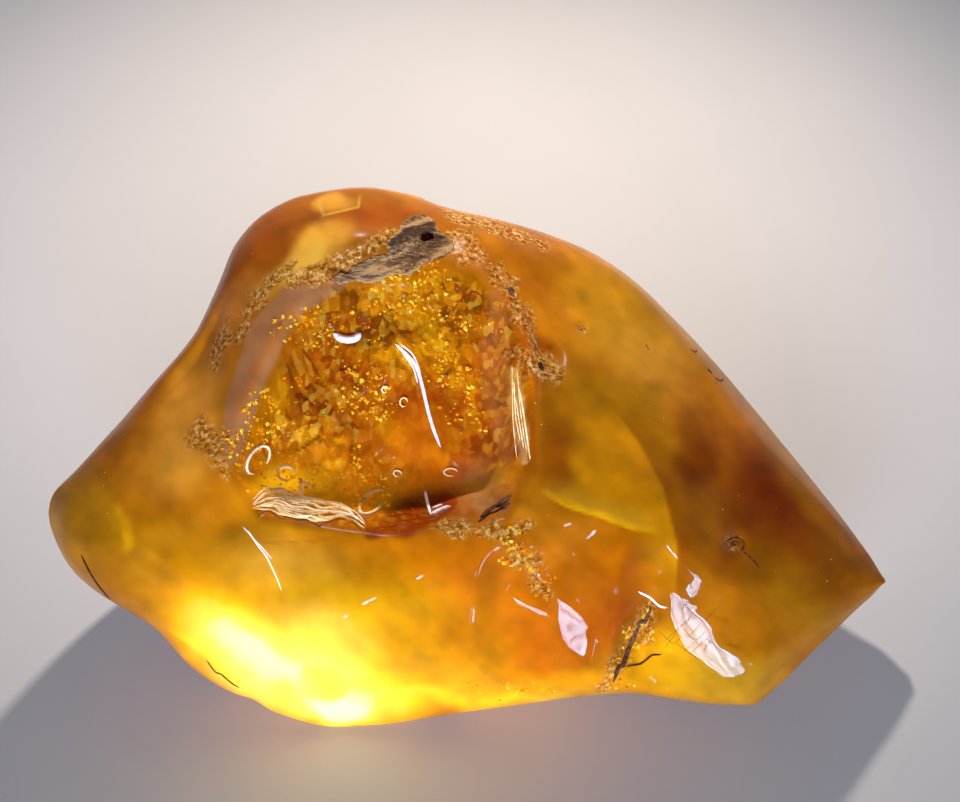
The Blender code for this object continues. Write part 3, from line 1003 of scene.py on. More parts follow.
@dataclass
class Patterns:
    """The colours painted on the amber, and the painted light that it sends out, place by place.

    Attributes:
        face: the broad face that they are seen on.
        base: the face's main colour.
        back_tones: the back's pale, deep and cloudy colours.
        front_gain: red, green and blue of all the front's colours are multiplied by this.
        clouds: patches of colour, laid over each other in turn.
        veils: torn bands, with their colour and strength; the mauve ones are painted sheen, the deep red one
            partly painted shade and the black one painted shade.
        window_base: the window's main colour.
        window_clouds: patches of colour in the window.
        fractures: inner cracks where a colour stops short.
        painted_glow_spots: painted light, sent out as emission: where light gathers in the cloudy heel and
            along the lower rim, and where the shaded foot of the window is brightened, and by how much.
        bends: how the clouds' outlines are bent, along x and up the rise.
        painted_glow_bends: how the outline of that painted light is bent.
        window_torn: how the window's outline is.
        mottle: small changes of tone.
        streaks: fine streaks down to the right.
        chip_share: how strongly dark and bright chips show; these stand partly for chips in shade and chips
            that catch light, a painted shade and sparkle.
    """

    face: Face
    base: Tone = Tone.HONEY
    back_tones: tuple[Tone, Tone, Tone] = (Tone.HONEY, Tone.COGNAC, Tone.BUTTER)
    front_gain: tuple[float, float, float] = (1.2, 1.15, 0.88)
    clouds: tuple[Cloud, ...] = (
        Cloud(-44, -4, 13, 12, 40, Tone.HONEY, 0.9, 1.4),
        Cloud(-52, -7, 5.5, 6.5, 0, Tone.STRAW, 0.45),
        Cloud(-37, 4, 5, 8, -30, Tone.BUTTER, 0.6, 1.5),
        Cloud(-45, -12, 8, 3, -38, Tone.OLIVE, 0.6),
        Cloud(-45.4, -10.2, 0.9, 2.8, 8, Tone.LEMON, 0.6, 1.6),
        Cloud(-20, 30, 15, 9, 0, Tone.TOFFEE, 0.9, 1.5),
        Cloud(-28.4, 27.4, 3.6, 6.5, -30, Tone.RUST, 0.5, 1.6),
        Cloud(-13, 31.4, 8, 2.2, 0, Tone.RUST, 0.6),
        Cloud(-30.5, 20.5, 3, 4.6, -35, Tone.FAWN, 0.6),
        Cloud(-24, -9.2, 7.5, 2.4, -6, Tone.GOLD, 0.75),
        Cloud(-20.6, 25.8, 6.6, 2.9, 32, Tone.BUTTER, 0.95, 2.4),
        # Painted sheen along the top ridge.
        Cloud(2, 30.6, 9, 1.6, -15, Tone.MAUVE_SHEEN, 0.5),
        Cloud(1, 27.8, 8, 1.8, -15, Tone.HONEY, 0.6),
        Cloud(-17, 33.2, 2.9, 1.6, 14, Tone.BUTTER, 0.7, 3),
        Cloud(14, 24, 8, 6, -30, Tone.HONEY, 0.8),
        Cloud(7.8, 12.8, 2, 5.4, 4, Tone.COGNAC, 0.85),
        Cloud(14, 7, 4, 5, 0, Tone.AMBER, 0.6),
        Cloud(19.5, 19, 11, 6.5, -42, Tone.STRAW, 0.95, 1.6),
        Cloud(24, 12, 7, 5, -44, Tone.BUTTER, 0.5),
        Cloud(19.5, 8, 8, 3.6, -20, Tone.OLIVE, 0.8),
        Cloud(19.5, -1.5, 6.8, 8, 0, Tone.AMBER, 0.95, 1.8),
        Cloud(21.5, -4.5, 4, 5, 0, Tone.GOLD, 0.85),
        Cloud(27.8, -1, 3.4, 4.8, -14, Tone.PLUM, 0.85, 1.3),
        Cloud(37.8, -6.2, 8.4, 6.6, -40, Tone.PLUM, 0.95, 2.2),
        Cloud(33.5, -11.5, 7, 5, 0, Tone.COGNAC, 0.85),
        Cloud(42, -12.5, 10, 4.2, -25, Tone.COGNAC, 0.8),
        Cloud(38, 5.8, 28, 3, -46, Tone.OLIVE, 0.75, 1.6),
        Cloud(43, -18, 10, 5, -35, Tone.OLIVE, 0.75),
        Cloud(18.5, -12, 7.5, 7, 0, Tone.ORANGE, 0.9),
        Cloud(29, -13, 4.5, 8, -15, Tone.HONEY, 0.7),
        Cloud(11.5, -0.4, 2.4, 5.6, 8, Tone.COGNAC, 0.75, 1.4),
        Cloud(16, -21, 5, 5, 0, Tone.RUST, 0.75),
        Cloud(4, -23, 12, 6, 0, Tone.ORANGE, 0.9),
        Cloud(-7, -15, 18, 7, 0, Tone.MARIGOLD, 0.9),
        Cloud(-33, -13, 12, 3.8, -22, Tone.AMBER, 0.8),
        # These six pale clouds of the heel and lower rim are cloudy amber and also painted light: the bright
        # light that comes through the lump there.
        Cloud(-24, -14, 7, 3.6, -10, Tone.BUTTER, 0.6),
        Cloud(-18, -19.5, 15, 6, -6, Tone.LEMON, 0.8),
        Cloud(-23.5, -27, 11, 7, -8, Tone.IVORY, 1, 2),
        Cloud(-6, -28.5, 12, 4.5, 6, Tone.LEMON, 0.9, 1.4),
        Cloud(23.5, -27, 6.5, 4.6, 0, Tone.LEMON, 0.95, 1.5),
        Cloud(6, -30.2, 12, 1.8, 2, Tone.LEMON, 0.9, 1.6),
        Cloud(33, -29, 8, 3.6, 2, Tone.STRAW, 0.9, 1.4),
    )
    veils: tuple[tuple[Band, Tone, float], ...] = (
        # Painted sheen on the polished slope left of the window.
        (
            Band(
                ((-30.6, 1), (-28.8, 9), (-26.4, 15.5), (-22.8, 20.6), (-17, 23.2)),
                2.5, 0.12, 61, (0.8, 1.1),
            ),
            Tone.MAUVE_SHEEN, 0.8,
        ),
        (Band(((-29.4, 6), (-26.4, 14), (-23, 19)), 1.2, 0.9, 67, (0.3, 1.5)), Tone.FAWN, 0.6),
        (Band(((3.2, 21), (3.2, 14.6), (4, 6), (4.8, 0)), 1.9, 0.35, 62), Tone.FAWN, 0.75),
        # Painted sheen on the facets right of the window's foot.
        (Band(((0.2, -2.4), (2, -4.4), (4, -5.6)), 1.7, 0.5, 65, (0.7, 1.2)), Tone.MAUVE_SHEEN, 0.6),
        # Deep red at the window's foot, partly painted shade of the hollow.
        (Band(((-12.8, -9), (-9, -7.4), (-3, -5.2)), 1.8, 0.4, 66, (0.6, 1.3)), Tone.GARNET, 0.85),
        (Band(((5.5, 11.6), (6.1, 5.9), (6.9, 0.2)), 1, 0.3, 63, (0.7, 1.15)), Tone.SAND, 0.9),
        # Painted shade: the pit through the crust, drawn black.
        (Band(((-6.5, 28.8), (-5.8, 29.1), (-5, 29)), 0.9, 0.3, 64, (0.8, 1.1)), Tone.PIT_SHADE, 1),
    )
    window_base: Tone = Tone.ORANGE
    window_clouds: tuple[Cloud, ...] = (
        Cloud(-8, 20.5, 16, 5, 0, Tone.GOLD, 0.85),
        Cloud(-25, 4, 5, 7, 20, Tone.AMBER, 0.75),
        Cloud(-16, 11.5, 7, 4.5, 0, Tone.RUST, 0.85),
        Cloud(-22, -2.5, 9, 4.5, -6, Tone.MARIGOLD, 0.9),
        Cloud(-7, 9, 4, 5, 0, Tone.RUST, 0.6),
        Cloud(-11, 15, 4.4, 2.6, 0, Tone.GOLD, 0.85),
        Cloud(-18.5, 5.5, 6, 3.4, -8, Tone.COGNAC, 0.7),
        Cloud(-25.6, 1, 2.4, 1.8, 0, Tone.RUST, 0.8),
        Cloud(-3.6, 15.5, 3.6, 4, 10, Tone.AMBER, 0.85),
        Cloud(-1.8, 10.3, 1.2, 2.4, 8, Tone.LEMON, 0.9, 2.6),
        Cloud(0.5, 3.5, 4.5, 8, 8, Tone.RUST, 0.85),
        # Deep red at the window's foot, partly painted shade of the hollow.
        Cloud(-6.4, -6, 3.8, 2.2, 0, Tone.GARNET, 0.95, 2.4),
        # Painted sheen on the facets right of the window's foot.
        Cloud(1.4, -3.6, 3.6, 3.2, 30, Tone.MAUVE_SHEEN, 0.8),
    )
    fractures: tuple[Fracture, ...] = (
        Fracture(((26.4, -18.4), (26.5, -11), (24.6, -3.5), (21.5, 2.5), (17.5, 8)), 7, Tone.GOLD, 0.9),
        Fracture(((17.5, 8), (21.5, 2.5), (24.6, -3.5), (26.5, -11), (26.4, -18.4)), 3.6, Tone.COGNAC, 0.55),
        Fracture(((8.6, -3.6), (16.5, -7), (24, -9.2)), 3.6, Tone.STRAW, 0.8),
        Fracture(((8.6, -3.8), (12, -5.8), (16.5, -7.2), (20, -8.6), (24, -9.4)), 1.3, Tone.LEMON, 1),
        Fracture(((-15.9, 24.3), (-10.5, 25.3), (-5.4, 24.9)), 1.6, Tone.BUTTER, 0.8),
        Fracture(((-9.3, 16.4), (-14, 18.6), (-19.8, 18.4)), 2.4, Tone.RUST, 0.8),
        Fracture(((-20, 33.8), (-19.2, 31.5), (-14.4, 32.7), (-14.2, 34.8)), 0.5, Tone.IVORY, 0.9),
        Fracture(((-39.5, -21.8), (-34.5, -25.2), (-29.7, -30.2)), 2, Tone.LEMON, 0.9),
        # A pale band along the lower rim: amber and also painted light that comes through the rim.
        Fracture(((14, -29.9), (8, -29), (2, -28.3), (-5, -29.2)), 2.6, Tone.LEMON, 0.85),
        Fracture(((-28, -8.6), (-26.2, -10.4), (-20, -10.2), (-15.6, -9.4)), 0.4, Tone.RUST, 0.7),
    )
    # Painted light: the first four spots brighten the window's shaded foot, the rest make the heel and lower
    # rim shine, and the two below zero keep round spots in the heel darker.
    painted_glow_spots: tuple[Mound, ...] = (
        Mound(-24, -1.8, 8, 3, -4, 0.2),
        Mound(-14, -3.6, 9, 2, 0, 0.14),
        Mound(-25, -4.4, 4.5, 2, 0, 0.32),
        Mound(2, -3.6, 4, 2.4, 0, 0.1),
        Mound(22.5, -28.5, 5, 2.4, 0, 0.14),
        Mound(-23, -27, 10.5, 6, -10, 0.8),
        Mound(-17, -33.3, 7.5, 3, 0, 0.8),
        Mound(-12, -29, 8, 4, 0, 0.25),
        Mound(-33, -21.2, 7.5, 4.4, -35, 0.66),
        Mound(-19.2, -28.9, 2.2, 1.7, 0, -0.5),
        Mound(-25.4, -30.2, 2, 1.5, 0, -0.35),
        Mound(-4, -30.4, 8, 1.8, 5, 0.25),
        Mound(6.5, -30.6, 10, 1.2, 2, 0.35),
    )

    bends: tuple[FaceNoise, FaceNoise] = (
        FaceNoise(9.0, 1.8, Seed.BEND_X), FaceNoise(9.0, 1.8, Seed.BEND_RISE),
    )
    painted_glow_bends: tuple[FaceNoise, FaceNoise] = (
        FaceNoise(6.0, 1.6, Seed.PAINTED_GLOW_BEND_X), FaceNoise(6.0, 1.6, Seed.PAINTED_GLOW_BEND_RISE),
    )
    window_torn: FaceNoise = FaceNoise(3.0, 0.1, Seed.WINDOW_RIM)
    mottle: FaceNoise = FaceNoise(2.4, 0.14, Seed.MOTTLE)
    streaks: FaceNoise = FaceNoise(1.6, 0.08, Seed.STREAKS)
    chip_share: float = 0.65

    def colours(self, x: Array, rise: Array) -> Array:
        """The colour of the broad face: clouds laid over each other, bent by slow noise, and fractures.

        Args:
            x, rise: the places.

        Returns:
            Linear colours.
        """
        lump = self.face.lump
        outer = laid_over(self.base, self.clouds, *bent(x, rise, self.bends))
        inner = laid_over(self.window_base, self.window_clouds, x, rise)
        _, tone = self.face.chips(x, rise, lump.face_depth(x, rise))
        share, fibres = self.face.comb(x, rise)
        crazed = self.face.crazed(x, rise)
        # Dark and bright chips, random per chip: partly painted shade and painted sparkle on the crazed
        # window.
        dark_chips, bright_chips = 1 - eased(tone, 0.26, 0.4), eased(tone, 0.6, 0.72)
        for chip_tone, part in ((Tone.PLUM, dark_chips), (Tone.LEMON, bright_chips)):
            inner = blended(inner, chip_tone.paint(), (self.chip_share * crazed * part)[..., None])
        inner = inner * (1 + crazed * (0.8 * tone - 0.35) + 0.5 * share * fibres)[..., None]
        inside = eased(lump.window_share(x, rise) + self.window_torn.read(x, rise), -0.05, 0.4)
        front = blended(outer, inner, inside[..., None])
        for veil, veil_tone, strength in self.veils:
            front = blended(front, veil_tone.paint(), strength * veil.share(x, rise)[..., None])
        for fracture in self.fractures:
            front = blended(front, fracture.tone.paint(), fracture.share(x, rise)[..., None])
        mottle = 1 + self.mottle.read(x, rise) + self.streaks.read((x - rise) / 9, (x + rise) / 1.4)
        return np.clip(front * mottle[..., None] * self.front_gain, 0.0, 1.0)

    def back_colours(self, x: Array, rise: Array, depth: Array) -> Array:
        """The colour of the back: honey and cognac blended by slow noise, with a cloudy veil in places.

        Args:
            x, rise, depth: the places.

        Returns:
            Linear colours.
        """
        space = np.stack([x, rise, depth], axis=-1)
        pale, deep, cloudy = (tone.paint() for tone in self.back_tones)
        mixed = eased(layered_noise(space, 26.0, Seed.BACK_TONES, 4), -0.6, 0.6)[..., None]
        veil = eased(layered_noise(space, 17.0, Seed.BACK_VEIL, 4), 0.1, 0.9)[..., None]
        return blended(blended(pale, deep, mixed), cloudy, veil)

    def painted_glow(self, x: Array, rise: Array) -> Array:
        """How strongly the amber shines as emission: painted light for the light that gathers in the cloudy
        heel and lower rim, and for the shaded foot of the window.
        """
        places = bent(x, rise, self.painted_glow_bends)
        return np.clip(sum(spot.height * spot.share(*places) for spot in self.painted_glow_spots), 0.0, 1.0)


def bent(x: Array, rise: Array, bends: tuple[FaceNoise, FaceNoise]) -> tuple[Array, Array]:
    """Places pushed about by two noises, so that outlines read there are bent."""
    return x + bends[0].read(x, rise), rise + bends[1].read(x, rise)


def laid_over(base: Tone, clouds: tuple[Cloud, ...], x: Array, rise: Array) -> Array:
    """A base colour with clouds mixed over it one after another, each by its share.

    Args:
        base: the colour under them.
        clouds: the clouds, the last one on top.
        x, rise: the places.

    Returns:
        Linear colours.
    """
    colour = np.ones(x.shape + (3,)) * base.paint()
    for cloud in clouds:
        colour = blended(colour, cloud.tone.paint(), cloud.share(x, rise)[..., None])
    return colour


# ---- the pieces
@dataclass
class AmberSkin:
    """The lump's own skin: one closed mesh of rings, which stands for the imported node.

    Attributes:
        face: the broad face.
        paint_rim: how far round the edge the front's colours ease into the back's.
        sharp_angle: the turn between two faces from which their edge is shaded sharp, in degrees.
    """

    face: Face
    paint_rim: Pair = (-0.12, 0.06)
    sharp_angle: float = 42.0

    def build(self) -> Piece:
        """Works out the rings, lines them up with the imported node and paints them.

        Returns:
            The piece, whose shift from the lump's own frame is kept in the face.
        """
        lump, patterns = self.face.lump, Patterns(self.face)
        x, rise, up, is_front = lump.rings()
        depth = np.where(is_front, self.face.depth(x, rise), lump.back_depth(x, rise, up))
        plain = lump.stand_up(x, rise, np.where(is_front, lump.face_depth(x, rise), depth)).reshape(-1, 3)
        low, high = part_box("amber")
        middle = (plain.min(0) + plain.max(0)) / 2
        packed_middle = np.array([(low.x + high.x) / 2 / MM, (low.y + high.y) / 2 / MM, 0.0])
        self.face.shift = packed_middle - middle * (1, 1, 0)
        side = eased(np.where(is_front, 1 - np.abs(up), np.abs(up) - 1), *self.paint_rim)
        paint = blended(patterns.back_colours(x, rise, depth), patterns.colours(x, rise), side[..., None])
        layers = {
            # painted light: emission for the light that gathers in the heel and lower rim
            "painted_glow": patterns.painted_glow(x, rise) * side,
            "crazed": self.face.crazed(x, rise) * is_front,
            "grain": strongest(Details.grain_bands, x, rise) * is_front,
        }
        return self.mesh(x, rise, depth, paint, layers)

    def mesh(
        self, x: Array, rise: Array, depth: Array, paint: Array, layers: dict[str, Array]
    ) -> Piece:
        """Joins the rings and the two tips into one closed mesh, with its paint and layers as attributes.

        Args:
            x, rise, depth: ring by place.
            paint: linear colours.
            layers: a number per place, by name.

        Returns:
            The piece.
        """
        rings, size = x.shape
        points = self.face.lump.stand_up(x, rise, depth) + self.face.shift
        points[..., 2] = np.maximum(points[..., 2], 0.0)
        points = np.concatenate([points.reshape(-1, 3), [self.tip(-1), self.tip(1)]]) * MM
        number = np.arange(rings * size).reshape(rings, size)
        after = np.roll(number, -1, axis=1)
        quads = np.stack([number[:-1], number[1:], after[1:], after[:-1]], axis=-1).reshape(-1, 4)
        left = np.stack([np.full(size, rings * size), number[0], after[0]], axis=-1)
        right = np.stack([np.full(size, rings * size + 1), after[-1], number[-1]], axis=-1)
        mesh = grid_mesh("amber_skin", points, [quads, left, right])
        for name, values in layers.items():
            ends = [values[0].mean(), values[-1].mean()]
            set_layer(mesh, name, np.concatenate([values.ravel(), ends]))
        ends = np.stack([paint[0].mean(0), paint[-1].mean(0)])
        set_paint(mesh, "body", np.concatenate([paint.reshape(-1, 3), ends]))
        mesh.set_sharp_from_angle(angle=math.radians(self.sharp_angle))
        piece = place_piece(mesh, AmberFinish().make())
        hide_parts("amber")
        return piece

    def tip(self, side: int) -> Array:
        """The point that closes the rings at one end.

        Args:
            side: -1 for the left end and 1 for the right one.

        Returns:
            The point in millimetres.
        """
        lump = self.face.lump
        x = np.array(side * lump.length / 2)
        rise = lump.edge_curve(x, lump.top_edge)
        return lump.stand_up(x, rise, curve_through(x, lump.edge_depth)) + self.face.shift


@dataclass
class TornPatch:
    """A thin rough shell that lies on the face with a torn outline, such as weathered crust.

    Attributes:
        name: the piece's name.
        face: the face it lies on.
        bands: the bands that it covers.
        thickness: how thick it is.
        roughness: how high its grain stands.
        grain: that grain, drawn out along its length.
        step: the spacing of its points.
        hole: a pit that goes through it, with a raised rim.
        thinned: where it is worn thin and pale.
        tear: the band's share at which it ends, and how far its grain moves that.
        slant: how much its grain leans up its length.
        drawn: how much longer than wide its grains are.
        shell: how thick its sheet of mesh is.
    """

    name: str
    face: Face
    bands: tuple[Band, ...]
    thickness: float
    roughness: float
    grain: FaceNoise
    step: float
    hole: Mound | None = None
    thinned: Mound | None = None
    tear: Pair = (0.12, 0.1)
    slant: float = 0.4
    drawn: float = 5.0
    shell: float = 0.25

    def build(self, material: Material) -> Piece:
        """Lays a fine grid over each band and keeps the squares that lie inside its torn edge.

        Args:
            material: its finish.

        Returns:
            The piece.
        """
        parts, shares, quads, count = [], [], [], 0
        for band in self.bands:
            corners = np.array(band.points)
            low, high = corners.min(0) - 1.8 * band.half_width, corners.max(0) + 1.8 * band.half_width
            x, rise = np.meshgrid(*(np.arange(a, b, self.step) for a, b in zip(low, high)), indexing="ij")
            share = band.share(x, rise)
            gritty = self.grain.read((x + self.slant * rise) / self.drawn, rise - self.slant * x)
            proud = share * (self.thickness + self.roughness * gritty)
            if self.hole:
                proud = proud + 0.6 * self.thickness * self.hole.share(x, rise)
            inside = share > self.tear[0] + self.tear[1] * gritty
            if self.hole:
                inside &= self.hole.share(x, rise) + 0.15 * gritty < 0.6
            keep = inside[:-1, :-1] & inside[1:, :-1] & inside[1:, 1:] & inside[:-1, 1:]
            number = np.arange(x.size).reshape(x.shape) + count
            square = np.stack([number[:-1, :-1], number[1:, :-1], number[1:, 1:], number[:-1, 1:]], axis=-1)
            quads.append(square[keep])
            parts.append(self.face.place(x, rise, proud).reshape(-1, 3))
            pale = 0.35 + 0.7 * gritty + 0.9 * (1 - share)
            if self.thinned:
                pale = pale + self.thinned.height * self.thinned.share(x, rise)
            shares.append(np.clip(pale, 0, 1.4).ravel())
            count += x.size
        points, faces = np.concatenate(parts), np.concatenate(quads)
        used, renumbered = np.unique(faces, return_inverse=True)
        mesh = grid_mesh(self.name, points[used] * MM, [renumbered.reshape(faces.shape)])
        set_layer(mesh, "height", np.concatenate(shares)[used])
        piece = place_piece(mesh, material)
        shell = piece.modifiers.new("shell", "SOLIDIFY")
        shell.thickness, shell.offset = self.shell * MM, -1.0
        return piece


@dataclass
class Spangles:
    """Tiny flakes of fractured resin that glitter: flattened eight-sided grains strewn over the face.

    Attributes:
        name: the piece's name.
        face: the face they lie on.
        count: how many there are at most.
        smallest: the smallest one's half width.
        largest: the largest one's half width.
        seed: which random scatter.
        tilt: how much they lean this way and that.
        proud: how far they stand out of the face.
        tries: how many places are tried for each flake.
        across: the least and most x of those places.
        upwards: their least and most rise.
    """

    name: str
    face: Face
    count: int
    smallest: float
    largest: float
    seed: int
    tilt: float = 0.45
    proud: float = 0.04
    tries: int = 30
    across: Pair = (-54.0, 54.0)
    upwards: Pair = (-34.0, 35.0)

    def build(self, material: Material, density: Density) -> Piece:
        """Strews the flakes where a random number is below the density, each with its own size and tilt.

        Args:
            material: their finish.
            density: where they lie thick.

        Returns:
            The piece.
        """
        rng = np.random.default_rng(self.seed)
        tries = self.tries * self.count
        x, rise = rng.uniform(*self.across, tries), rng.uniform(*self.upwards, tries)
        chosen = np.flatnonzero(rng.uniform(0, 1, tries) < density.read(self.face, x, rise))[: self.count]
        x, rise = x[chosen], rise[chosen]
        count = len(chosen)
        size = self.smallest + (self.largest - self.smallest) * rng.uniform(0, 1, count) ** 3
        normal = rng.normal(0, self.tilt, (count, 3)) + self.face.lump.outward()
        normal /= np.linalg.norm(normal, axis=1, keepdims=True)
        side = np.cross(normal, rng.normal(0, 1, (count, 3)))
        side /= np.linalg.norm(side, axis=1, keepdims=True)
        other = np.cross(normal, side)
        shape = np.array([
            (1, 0, 0), (0, 0.7, 0), (-0.8, 0.2, 0), (-0.1, -0.75, 0), (0, 0, 0.18), (0, 0, -0.18),
        ])
        frame = np.stack([side, other, normal], axis=1)
        corners = np.einsum("kc,nca->nka", shape, frame) * size[:, None, None]
        points = corners + self.face.place(x, rise, self.proud)[:, None, :]
        ring = np.arange(4)
        faces = np.concatenate([
            np.stack([ring, (ring + 1) % 4, np.full(4, 4)], axis=-1),
            np.stack([(ring + 1) % 4, ring, np.full(4, 5)], axis=-1),
        ])
        all_faces = (np.arange(count)[:, None, None] * 6 + faces).reshape(-1, 3)
        mesh = grid_mesh(self.name, points.reshape(-1, 3) * MM, [all_faces])
        mesh.shade_flat()
        set_layer(mesh, "height", np.repeat(rng.uniform(0, 1, count), 6))
        return place_piece(mesh, material)


@dataclass(frozen=True)
class Density:
    """How thick flakes lie.

    Attributes:
        bands: lines that they follow.
        on_bands: the chance of a flake on those lines.
        in_window: the chance in the crazed part of the window.
        anywhere: the chance anywhere.
        patches: the patches that they form in the window.
        rim: how far up or down the face, from its middle, they lie.
    """

    bands: tuple[Band, ...]
    on_bands: float
    in_window: float
    anywhere: float
    patches: FaceNoise = FaceNoise(3.4, 1.0, Seed.FLAKE_PATCHES, 2)
    rim: float = 0.96

    def read(self, face: Face, x: Array, rise: Array) -> Array:
        """The chance that a flake lies at a place.

        Args:
            face: the broad face.
            x, rise: the places.

        Returns:
            The chance, from 0 to 1.
        """
        on_face = np.abs(face.lump.up(x, rise)) < self.rim
        patchy = eased(self.patches.read(x, rise), 0.0, 0.5)
        chance = self.anywhere + self.on_bands * strongest(self.bands, x, rise)
        return (chance + self.in_window * face.crazed(x, rise) * patchy) * on_face


@dataclass(frozen=True)
class Strand:
    """A thin thread on the face, such as a fibre or a hair crack.

    Attributes:
        points: the line it follows, as x, rise and how far it stands proud.
        radius: its half width.
        wave: how far it wanders to either side.
        seed: which way it wanders.
        step: the spacing of its rings.
        wander: the length over which it wanders.
    """

    points: tuple[tuple[float, float, float], ...]
    radius: float
    wave: float = 0.0
    seed: int = 0
    step: float = 0.35
    wander: float = 1.6

    def tube(self, face: Face, sides: int = 6) -> tuple[Array, Array, Array]:
        """A tube along the line.

        Args:
            face: the face it lies on.
            sides: how many sides the tube has.

        Returns:
            Its points in millimetres, its side squares, and its end fans. Each ring is a circle of the
            radius, tapered to both ends, about the line; the line is read evenly by its own length.
        """
        line = np.array(self.points)
        length = np.concatenate([[0], np.cumsum(np.linalg.norm(np.diff(line[:, :2], axis=0), axis=1))])
        steps = max(6, int(length[-1] / self.step))
        t = np.linspace(0, length[-1], steps)
        x, rise, proud = (curve_through(t, tuple(zip(length, line[:, i]))) for i in range(3))
        places = np.stack([t, 0 * t, 0 * t + self.seed], axis=-1)
        rise = rise + self.wave * lattice_noise(places, self.wander, Seed.STRAND_DRIFT)
        middle = face.place(x, rise, proud)
        way = np.gradient(middle, axis=0)
        way /= np.linalg.norm(way, axis=1, keepdims=True)
        across = np.cross(way, face.lump.outward())
        across /= np.linalg.norm(across, axis=1, keepdims=True)
        up = np.cross(across, way)
        taper = np.sqrt(np.clip(1 - (2 * t / length[-1] - 1) ** 6, 0.02, 1))[:, None, None] * self.radius
        turn = 2 * math.pi * np.arange(sides) / sides
        circle = across[:, None] * np.cos(turn)[:, None] + up[:, None] * np.sin(turn)[:, None]
        points = (middle[:, None] + taper * circle).reshape(-1, 3)
        number = np.arange(steps * sides).reshape(steps, sides)
        after = np.roll(number, -1, axis=1)
        squares = np.stack([number[:-1], after[:-1], after[1:], number[1:]], axis=-1).reshape(-1, 4)
        caps = np.stack([number[0][::-1], number[-1]])
        return points, squares, caps


def lying(proud: float, points: Points, *rest: float) -> Strand:
    """A strand whose points all stand equally proud, given by x and rise, and by what else it has."""
    return Strand(tuple((*point, proud) for point in points), *rest)


def strand_mesh(name: str, face: Face, strands: tuple[Strand, ...]) -> Mesh:
    """Joins many strands into one mesh.

    Args:
        name: the mesh's name.
        face: the face they lie on.
        strands: the strands.

    Returns:
        The mesh, with a random tone per strand as its height.
    """
    parts, squares, caps, tones, count = [], [], [], [], 0
    for i, strand in enumerate(strands):
        points, side, ends = strand.tube(face)
        parts.append(points)
        squares.append(side + count)
        caps.append(ends + count)
        tones.append(np.full(len(points), 0.3 + 0.7 * ((i * 0.382) % 1.0)))
        count += len(points)
    mesh = grid_mesh(name, np.concatenate(parts) * MM, [np.concatenate(squares), np.concatenate(caps)])
    set_layer(mesh, "height", np.concatenate(tones))
    return mesh


